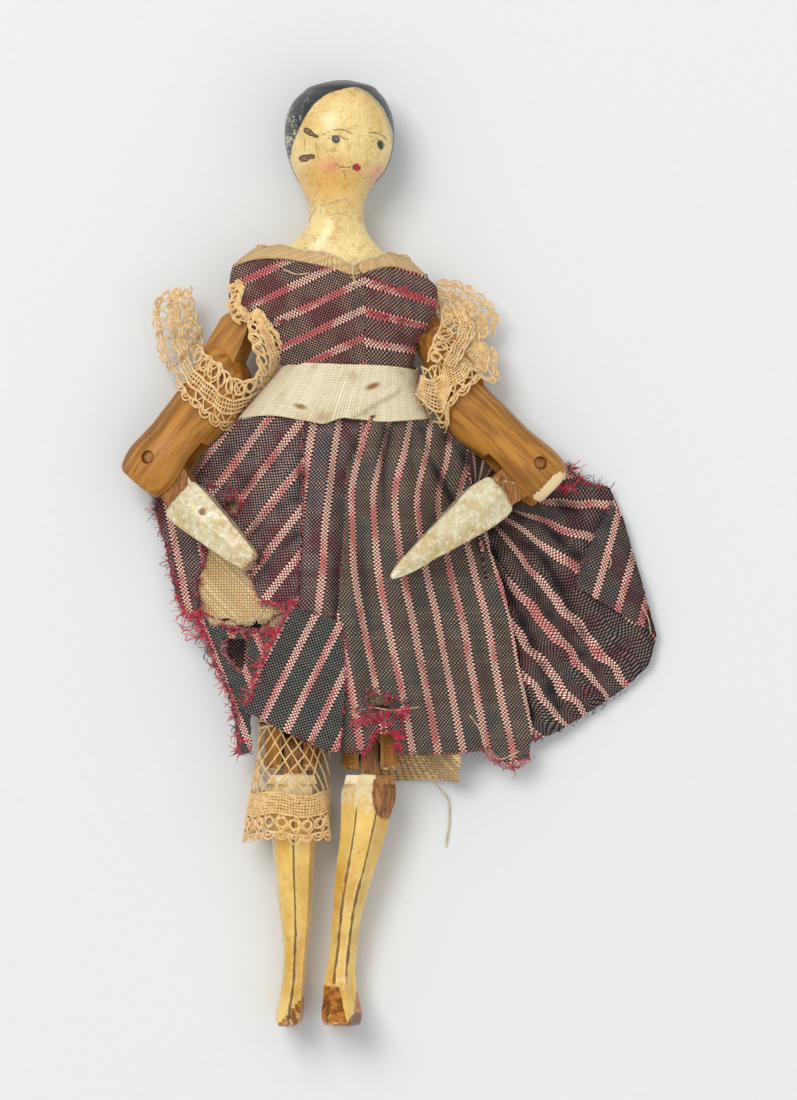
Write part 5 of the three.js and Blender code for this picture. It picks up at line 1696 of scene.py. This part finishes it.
def bodice(cotton, threads):
    """Both fronts and the back of the bodice, the stitches of its seam and its loose threads."""
    def left_weave(x, y, u, v):
        return (y - 0.46 * x - 19.57) * STRIPE_PITCH / 4.4, x + 0.46 * y

    def right_weave(x, y, u, v):
        level = y + (0.17 + 0.018 * (y - 7)) * (x - 2.8)
        return STRIPE_PITCH * (level - 7.9) / 4.9, x

    left = surface_cloth("bodice_left_look", bodice_surface(168, 77.5, 0.1), left_weave, 70, 44, cotton)
    right = surface_cloth("bodice_right_look", bodice_surface(78.5, 14), right_weave, 60, 44, cotton)
    back = surface_cloth("bodice_back_look", bodice_surface(334, 206), left_weave, 60, 24, cotton)
    for piece, node, width, length in (
        (left, "bodice_front_left", 24, 17),
        (right, "bodice_front_right", 17, 16),
        (back, "bodice_back", 30, 16),
    ):
        settle(piece, "torso", node, slot="stripe")

    def height(x, y):
        centre, width, depth = bodice_section(y)
        across = np.clip(np.abs(x - centre) / width, 0, 0.999) ** (1 / 0.8)
        return TORSO_Z + depth * np.sqrt(1 - across ** 2) ** 0.8 + 0.25

    stitches = []
    for y in (20.0, 18.9, 17.6, 16.6):
        stitch = [(SEAM_X - 0.5, y), (SEAM_X + 0.1, y - 0.2), (SEAM_X + 0.6, y + 0.1)]
        stitches.append(loose_thread(stitch, height, CREAM))
    cord = [(SEAM_X, 20.6), (SEAM_X - 0.1, 18.4), (SEAM_X + 0.2, 16.2)]
    stitches.append(loose_thread(cord, height, CREAM, 0.14))
    for y in np.arange(5.0, 16.0, 0.9):
        stitches.append(loose_thread([(SEAM_X + 0.1, y), (SEAM_X - 0.05, y + 0.5)], height, DARK, 0.07))
    loops = frayed_edges(height, [
        ([(-15.2, 15.4), (-13.6, 12.4), (-10.8, 7.6)], 3.0, 1.0, 1, (RED, RED, TEAL)),
        ([(15.6, 15.2), (15.0, 11.4), (12.6, 7.4)], 2.5, 1.0, 1, (RED, RED, TEAL)),
        ([(-11.8, 11.0), (-9.0, 10.4), (-6.4, 10.6)], 3.0, 1.0, -1, (RED, TEAL, DARK)),
    ])
    for end_y, drop in ((13.8, 0.0), (9.6, -5.0)):
        stripe = [(5.4, 16.8 + drop), (10.0, 15.6 + drop), (14.2, end_y)]
        loops += frayed(stripe, height, 4.4, 1.2, -1, (RED, RED, PINK), 1.2)
    loops.append(loose_thread([(-8.4, 18.8), (-6.2, 18.0), (-4.2, 18.2)], height, CREAM))
    thread_object("bodice_threads", stitches + loops, threads, "torso")


def neck_tapes(linen, threads):
    """Tape along each half of the neckline, edged with small loops."""
    def weave(x, y, u, v):
        return v * 2.2, u * 22

    for node, start, end in (("neck_tape_left", 166, 78.5), ("neck_tape_right", 77.5, 16)):
        def surface(u, v, start=start, end=end):
            t = np.radians(lerp(start, end, u))
            x, z = oval_point(t, -0.6, lerp(12.4, 16.2, v), lerp(5.3, 6.6, v))
            rise = lerp(1.7, -0.3, v) * (0.9 + 0.1 * np.sin(u * 17))
            return x, curve(NECKLINE, np.clip(x, -17.3, 16)) + rise, z + 0.25

        tape = surface_cloth(node + "_look", surface, weave, 60, 6, linen, 0.35)
        settle(tape, "torso", node, slot="tape")
        edge = [[float(part) for part in surface(u, 0.0)] for u in np.linspace(0.02, 0.98, 46)]
        loops = []
        for x, y, z in edge:
            picot = [(-0.25, -0.2, 0), (-0.1, 0.3, 0.15), (0.2, 0.3, 0.15), (0.3, -0.2, 0)]
            loops.append(([(x + dx, y + dy, z + dz) for dx, dy, dz in picot], 0.1, CREAM))
        thread_object(node + "_picots", loops, threads, "torso")


SASH_LOWER_EDGE = [
    (-17, -4.8), (-10.6, -4.2), (-4.6, -5.1), (-1.9, -5.5), (0, -4.8), (7, -5.2), (14, -4.7),
]


def sash(silk):
    """Stained ribbon round the waist."""
    def surface(u, v):
        t = 2 * np.pi * u
        front = np.sin(t) > 0
        width = lerp(10.5, 15.0, v ** 1.2)
        centre = lerp(2.2, -0.6, v)
        x, z = oval_point(t, centre, width, lerp(7.0, 7.2, v), 0.85)
        top = curve([(-12, 4.2), (0, 3.9), (12.4, 3.1), (15, 2.6)], x)
        bottom = curve(SASH_LOWER_EDGE, x)
        y = np.where(front, lerp(top, bottom, v), lerp(3.6, -4.6, v))
        crease = 0.8 * smoothstep(0.8, 0.0, np.abs((y + 4.4) * 0.86 - (x - 1.9) * 0.5))
        crease = crease * smoothstep(0.5, 2.5, x) * smoothstep(10.5, 9.0, x)
        ripple = 0.22 * wobble(x, y * 2, 3.6, 2.0)
        return x, y, z + np.where(front, crease + ripple, 0)

    def weave(x, y, u, v):
        return v * 9.2, u * 74

    belt = surface_cloth("sash_look", surface, weave, 200, 26, silk, 0.4, wrap=True)
    x, y, z = doll_points(belt.data).T
    spots = np.minimum(oval(x, y, (5.7, 0.4), 0.9, 0.35, 20), oval(x, y, (-5.7, -2.8), 0.8, 0.3, -15))
    add_attribute(belt.data, "stain", np.where(z > TORSO_Z, spots, 9.0))
    settle(belt, "torso", "sash", slot="ribbon")


# ---- underclothes and lace -----------------------------------------------------------

def thigh_line(side, y):
    """x and z of a thigh's centre line at a height up the doll."""
    x, knee_x = LEGS[side]["x"], LEGS[side]["knee_x"]
    share = np.clip((HIP_Y - 6.6 - y) / (2.6 + HIP_Y - 6.6 - KNEE_Y), 0, 1.2)
    return lerp(x, knee_x, share), lerp(HIP_Z, KNEE_Z, share)


def drawers(linen, threads):
    """Both legs of the linen drawers, and a thread that hangs from the right one."""
    def weave(x, y, u, v):
        return u * 32, y

    for side, hem, ease in (("left", -52.8, 0.35), ("right", -60.2, 2.6)):
        top = HIP_Y - 7.0

        def surface(u, v, side=side, hem=hem, ease=ease, top=top):
            t = 2 * np.pi * u
            slack = lerp(0.35, ease, v ** 2)
            low = hem
            outward = 0.0
            if side == "right":
                front = lerp(-50.0, -57.6, smoothstep(0.4, 0.7, np.cos(t)))
                low = lerp(-62.2, front, smoothstep(-0.35, 0.35, np.sin(t)))
                low = lerp(low, -51.0, smoothstep(0.1, -0.5, np.cos(t)))
                outward = 6.4 * v ** 4 * smoothstep(-0.2, 0.9, np.cos(t))
            y = lerp(top, low, v) + 0.25 * np.sin(5 * t) * v
            x, z = thigh_line(side, y)
            reach = THIGH_RADIUS + 0.65 + 0.22 * np.sin(14 * t) * smoothstep(0, 0.3, v)
            x = x + outward + (reach + slack) * np.cos(t)
            z = z + (reach + slack * 0.4) * np.sin(t)
            return x, y, np.minimum(z, skirt_height(x, y) - 1.0)

        leg = surface_cloth("drawers_" + side + "_look", surface, weave, 90, 40, linen, wrap=True)
        settle(leg, "thigh_" + side, "drawers_" + side, slot="linen")

    def near_floor(x, y):
        return lerp(5.0, 0.2, smoothstep(-60, -66, y))

    line = [(13.9, -61.0), (16.3, -63.4), (17.6, -65), (17.9, -68.2), (17.3, -72.9)]
    thread_object("drawers_thread", [loose_thread(line, near_floor, CREAM, 0.13)], threads, "thigh_right")


def lace_lines(surface, length, width, dense, cell=1.3, hole_row=None, scallops=None, seed=1):
    """Threads of a strip of bobbin lace. surface(s, w) places millimetres along and across the strip.

    dense is the woven band's two edges, measured across the strip; beside it is a net of diamonds."""
    lines = []
    chance = random.Random(seed)
    low, high = dense

    def add(points, radius):
        lines.append((np.array([surface(s, w) for s, w in points], float), radius))

    def run_along(w, radius, step=0.5, waver=0.1):
        count = max(2, int(length / step))
        shake = chance.uniform(0, 6)
        add([(k * length / count, w + waver * math.sin(k * 1.3 + shake)) for k in range(count + 1)], radius)

    def net(s, start, end, lean):
        steps = max(3, int((end - start) / 0.45))
        points = []
        for m in range(steps + 1):
            w = start + (end - start) * m / steps
            along = s + lean * (w - start) * 0.72
            if 0 <= along <= length:
                points.append((along, w + chance.uniform(-0.05, 0.05)))
        if len(points) > 2 and chance.random() > 0.06:
            add(points, 0.13)

    for k in range(int(length / cell) + 1):
        s = k * cell + chance.uniform(-0.12, 0.12)
        for start, end in ((0.0, low), (high, width)):
            if end - start > 0.5:
                net(s, start, end, 1)
                net(s, start, end, -1)
    for w in (0.0, width):
        run_along(w, 0.2)
    rows = max(2, int((high - low) / 0.42))
    for row in range(rows + 1):
        run_along(lerp(low, high, row / rows), 0.15 if 0 < row < rows else 0.22, 0.6, 0.06)
    for k in range(int(length / 0.44)):
        s = (k + 0.5) * 0.44
        steps = max(2, int((high - low) / 0.6))
        add([(s + chance.uniform(-0.06, 0.06), lerp(low, high, m / steps)) for m in range(steps + 1)], 0.12)
    if hole_row:
        w, radius, pitch = hole_row
        for k in range(int(length / pitch)):
            centre = (k + 0.5) * pitch
            reach = radius * chance.uniform(0.85, 1.15)
            ring = [2 * math.pi * m / 12 for m in range(13)]
            add([(centre + reach * math.cos(a), w + radius * math.sin(a)) for a in ring], 0.2)
    if scallops:
        w, depth, pitch = scallops
        arc = [math.pi * m / 8 for m in range(9)]
        for k in range(int(length / pitch)):
            centre = (k + 0.5) * pitch
            for size in (1.0, 0.55):
                reach = pitch * 0.5 * size
                drop = depth * size * chance.uniform(0.8, 1.2)
                points = [(centre + reach * math.cos(a), w + drop * math.sin(a)) for a in arc]
                add([(min(max(s, 0), length), v) for s, v in points], 0.15)
    return lines


def lace_piece(name, strips, material, node, body=None, blend=None):
    """Lace made of (surface, length, width, dense, settings) strips, all in one piece."""
    lines = []
    for number, (surface, length, width, dense, settings) in enumerate(strips):
        lines += lace_lines(surface, length, width, dense, seed=number + 1, **settings)
    verts, faces, _ = thread_mesh(lines)
    obj = make_object(name, verts, faces, material, crease=60)
    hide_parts(node)
    if blend:
        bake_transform(obj)
    else:
        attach(obj, body)
    return obj


def ribbon_surface(inner, outer, height, crumple=0.25, seed=1.0):
    """Strip between two edges seen from above, at height(x, y)."""
    inner, outer = np.array(inner, float), np.array(outer, float)
    middle = (inner + outer) / 2
    length = float(np.linalg.norm(np.diff(middle, axis=0), axis=1).sum())
    width = float(np.linalg.norm(outer - inner, axis=1).mean())
    fine_inner = polyline(inner, np.linspace(0, 1, 200))
    fine_outer = polyline(outer, np.linspace(0, 1, 200))

    def surface(s, w):
        k = min(max(s / length, 0.0), 1.0) * 199
        low = int(min(k, 198))
        a = lerp(fine_inner[low], fine_inner[low + 1], k - low)
        b = lerp(fine_outer[low], fine_outer[low + 1], k - low)
        x, y = lerp(a, b, w / width)
        x += 0.12 * math.sin(s * 2.3 + w)
        z = float(height(x, y)) + crumple * float(wobble(s, w, 1.6, seed))
        return x, y, z

    return surface, length, width


def lace_strip(ribbon, low, high, cell, **rows):
    """A strip for lace_piece along a ribbon, with its places across given as shares of the width."""
    surface, length, width = ribbon
    settings = {key: (share * width, *sizes) for key, (share, *sizes) in rows.items()}
    return surface, length, width, (low * width, high * width), {"cell": cell, **settings}


def over_arm(side, clearance):
    """Height of cloth lying over an upper arm, for points seen from above."""
    matrix = arm_frames(side)["dowel"]
    along = matrix[:3, 1]
    flat = along[:2] / np.linalg.norm(along[:2])
    reach = ARMS[side]["radius"] + clearance

    def height(x, y):
        dx, dy = x - matrix[0, 3], y - matrix[1, 3]
        run = dx * flat[0] + dy * flat[1]
        away = np.abs(dx * flat[1] - dy * flat[0])
        axis_z = matrix[2, 3] + run * along[2] / np.linalg.norm(along[:2])
        top = axis_z + np.sqrt(np.clip(reach ** 2 - away ** 2, 0.0, None))
        return top - 0.9 * np.clip(away - reach, 0, 6)

    return height


def under_arm_band(side, start, end, clearance):
    """The part of a sleeve's lace that goes round below the arm."""
    matrix = arm_frames(side)["dowel"]
    reach = ARMS[side]["radius"] + clearance
    length, width = 15.0, end - start

    def surface(s, w):
        t = math.radians(190 + 160 * s / length)
        across = reach * math.cos(t) + 0.12 * math.sin(s * 3)
        along = lerp(start, end, w / width) + 0.3 * math.sin(3 * t)
        x, y, z = placed(matrix, [(across, along, reach * math.sin(t))])[0]
        return x, y, max(z, 0.5)

    return surface, length, width, (0.6, width - 0.6), {}


LEFT_LACE_INNER = [
    (-13.9, 11.9), (-13.6, 8.0), (-12.4, 4.6), (-12.4, 2.4), (-14.2, 1.2), (-16.6, 1.8), (-18.4, 3.8),
    (-20.4, 5.2), (-21.8, 6.8),
]
LEFT_LACE_OUTER = [
    (-12.6, 12.6), (-9.8, 8.6), (-8.2, 4.6), (-9.2, 0.4), (-13.6, -3.6), (-17.6, -5.2), (-21.4, -2.6),
    (-24.4, 0.4), (-25.8, 3.4),
]
LEFT_END_INNER = [(-21.6, 6.6), (-21.5, 8.6), (-22.4, 11.0), (-22.8, 13.0), (-23.2, 15.3), (-23.4, 16.6)]
LEFT_END_OUTER = [(-25.8, 3.2), (-27.4, 6.0), (-27.8, 8.5), (-28.4, 11.5), (-28.2, 14.2), (-26.8, 16.0)]


def left_sleeve(lace):
    """Lace of the left sleeve, and the loose end of it that lies beside the arm."""
    sleeve = ribbon_surface(LEFT_LACE_INNER, LEFT_LACE_OUTER, over_arm("left", 0.8), 0.3)
    band = lace_strip(sleeve, 0.5, 0.8, cell=1.5, hole_row=(0.2, 0.8, 2.0), scallops=(1.0, 0.8, 1.5))
    knot_inner = [(-15.6, 17.4), (-14.6, 15.8), (-15.4, 13.6), (-14.2, 12.4), (-13.9, 10.6)]
    knot_outer = [(-17.0, 16.6), (-16.6, 14.6), (-17.2, 13.2), (-16.4, 11.4), (-15.2, 10.2)]
    knot = ribbon_surface(knot_inner, knot_outer, lambda x, y: 13.6 + 0 * x, 0.5, 3.0)
    loose = (*knot, (0.2, 0.6), {"cell": 1.2, "hole_row": (1.3, 0.55, 1.7)})
    strips = [band, loose, under_arm_band("left", 12.4, 16.8, 0.45)]
    lace_piece("sleeve_lace_left_look", strips, lace, "sleeve_lace_left", "upper_arm_left")

    def tail_height(x, y):
        return 5.2 + 0.1 * (y - 6) + 0.54 * np.sin(y * 1.4)

    loose_end = ribbon_surface(LEFT_END_INNER, LEFT_END_OUTER, tail_height, 0.7, 2.0)
    tail = lace_strip(loose_end, 0.45, 0.7, cell=1.3, hole_row=(0.22, 0.6, 1.6), scallops=(1.0, 0.9, 1.5))
    lace_piece("lace_tail_left_look", [tail], lace, "lace_tail_left", "upper_arm_left")


def right_sleeve(lace):
    """Lace of the right sleeve: three strips over the arm and a band under it."""
    height = over_arm("right", 1.0)
    hem_outer = [
        (24.6, 6.9), (24.4, 1.8), (22.1, 2.2), (20.4, 0.4), (18.2, -1.2), (16.8, -5.4), (13.8, -3.6),
        (12.3, -1.6),
    ]
    hem_inner = [
        (20.4, 9.4), (20.2, 8.4), (19.2, 7.4), (18.0, 6.0), (16.6, 5.0), (15.4, 3.6), (14.4, 3.0),
        (13.4, 3.4),
    ]
    low = ribbon_surface(hem_inner, hem_outer, lambda x, y: height(x, y) + 0.3, 0.4, 2.0)
    top_outer = [(15.8, 16.8), (18.6, 16.6), (21.6, 15.0), (24.6, 12.0), (24.9, 8.6)]
    top_inner = [(15.6, 12.4), (16.8, 11.4), (18.4, 10.4), (19.4, 9.0), (19.6, 7.4)]
    top = ribbon_surface(top_inner, top_outer, lambda x, y: height(x, y) + 0.9, 0.8, 4.0)
    inner_inner = [(14.2, 4.2), (15.4, 7.8), (16.6, 10.6), (16.4, 13.6)]
    inner_outer = [(18.6, 3.4), (20.6, 7.0), (21.6, 9.8), (19.4, 13.2)]
    inner = ribbon_surface(inner_inner, inner_outer, lambda x, y: height(x, y) + 1.5, 0.8, 6.0)
    strips = [
        lace_strip(low, 0.25, 0.8, cell=1.3, scallops=(1.0, 0.9, 1.6)),
        lace_strip(top, 0.55, 0.8, cell=1.4, hole_row=(0.3, 0.8, 2.0), scallops=(1.0, 0.9, 1.5)),
        lace_strip(inner, 0.6, 0.9, cell=1.3, hole_row=(0.25, 0.8, 2.0)),
        under_arm_band("right", 12.0, 16.6, 0.5),
    ]
    lace_piece("sleeve_lace_right_look", strips, lace, "sleeve_lace_right", "upper_arm_right")


def lace_cuff(lace):
    """Lace round the left leg: net, a woven band, a row of holes and scallops down the shin."""
    top, bottom = -53.2, -70.2
    around = 36.0

    def surface(s, w):
        t = 2 * math.pi * s / around
        y = top - w
        share = (top - y) / (top - bottom)
        reach = 5.2 + 1.5 * share + 0.35 * math.sin(5 * t + w * 0.3)
        x = LEGS["left"]["knee_x"] - 0.7 * share + reach * math.cos(t)
        z = KNEE_Z + (5.4 + 0.5 * share + 0.25 * math.sin(6 * t)) * math.sin(t)
        return x, y + 0.35 * math.sin(4 * t), max(z, 0.35)

    length = top - bottom
    strips = [(surface, around, length, (10.8, 14.0),
               {"cell": 2.0, "hole_row": (length - 1.6, 0.75, 1.8), "scallops": (length, 1.3, 1.8)})]
    start, end = tuple(metres((-7, -54, 7))), tuple(metres((-7, -61, 7)))
    across_knee = ("thigh_left", "lower_leg_left", start, end)
    lace_piece("lace_cuff_look", strips, lace, "lace_cuff_left", blend=across_knee)


def clothes():
    """Every piece of cloth and lace, in an order that the random draws depend on."""
    threads = thread_set()
    dark = striped_cotton("striped_cotton")
    middle = striped_cotton("striped_cotton_centre", (164, 146, 128), (34, 30, 28), (120, 88, 76), 0.4)
    brown = striped_cotton("striped_cotton_bodice", (184, 144, 128), (30, 22, 24), (136, 46, 64), 0.6,
                           red=0.8)
    patch = striped_cotton("striped_cotton_patch", (134, 130, 118), (14, 20, 20), (84, 70, 76), 0.3, 0.06)
    fanned = striped_cotton("striped_cotton_fan", (142, 120, 110), (16, 14, 18), (112, 40, 60), 0.6, 0.05)
    silk = ribbon_silk("sash_silk")
    linen = tan_weave("linen", 0.42, (240, 212, 160), (208, 172, 118), 0.3)
    tape = tan_weave("neck_tape", 0.34, (232, 200, 148), (206, 166, 112))
    lace = thread_material("lace_thread", (240, 206, 146), (214, 170, 108))
    skirt_back(dark)
    petticoat(linen, threads)
    drawers(linen, threads)
    skirt_left(dark, threads)
    skirt_centre(middle, threads)
    skirt_fan(fanned, threads)
    skirt_strip(dark, threads)
    skirt_patch(patch, threads)
    bodice(brown, threads)
    neck_tapes(tape, threads)
    sash(silk)
    left_sleeve(lace)
    right_sleeve(lace)
    lace_cuff(lace)


# ---- floor, light and camera -------------------------------------------------------

def studio():
    """Pale floor, one large soft light from the upper left and a weak fill."""
    paper = Graph("paper", roughness=0.9, specular=0.2)
    grain = paper.noise(paper.place(), 0.8, 3.0)
    paper.done(paper.mix(grain, colour(222, 223, 222), colour(226, 227, 226)), paper.bump(grain, 0.02, 0.3))
    reach = 1200.0
    corners = [(-reach, -reach, 0), (reach, -reach, 0), (reach, reach, 0), (-reach, reach, 0)]
    floor = make_object("floor", corners, [(0, 1, 2, 3)], paper.material)
    world = bpy.data.worlds.new("studio")
    world.use_nodes = True
    background = world.node_tree.nodes["Background"].inputs
    background["Color"].default_value = (0.96, 0.98, 1.0, 1.0)
    background["Strength"].default_value = 0.6
    bpy.context.scene.world = world
    for name, place, size_m, power in (
        ("key", (-620, 720, 1700), 0.9, 21.0),
        ("fill", (900, -300, 1700), 1.9, 6.6),
    ):
        light = bpy.data.lights.new(name, "AREA")
        light.shape = "SQUARE"
        light.size = size_m
        light.energy = power
        lamp = bpy.data.objects.new(name, light)
        bpy.context.scene.collection.objects.link(lamp)
        lamp.location = metres(place)
        aim = Vector(metres((0, -20, 0))) - lamp.location
        lamp.rotation_euler = aim.to_track_quat("-Z", "Y").to_euler()
    bpy.context.scene.view_settings.view_transform = "Standard"


def camera():
    """Straight down on the doll from its front."""
    data = bpy.data.cameras.new("camera")
    data.sensor_fit = "VERTICAL"
    data.sensor_height = 36.0
    data.lens = 200.0
    frame_height = 174.4
    middle_x, middle_y = 9.75, -25.4
    distance = frame_height / data.sensor_height * data.lens
    eye = bpy.data.objects.new("camera", data)
    bpy.context.scene.collection.objects.link(eye)
    eye.location = metres((middle_x, middle_y, TORSO_Z + distance))
    data.clip_start = 0.05
    data.clip_end = 20
    bpy.context.scene.camera = eye


# ---- assembly ----------------------------------------------------------------------

wooden_doll()
clothes()
studio()
camera()
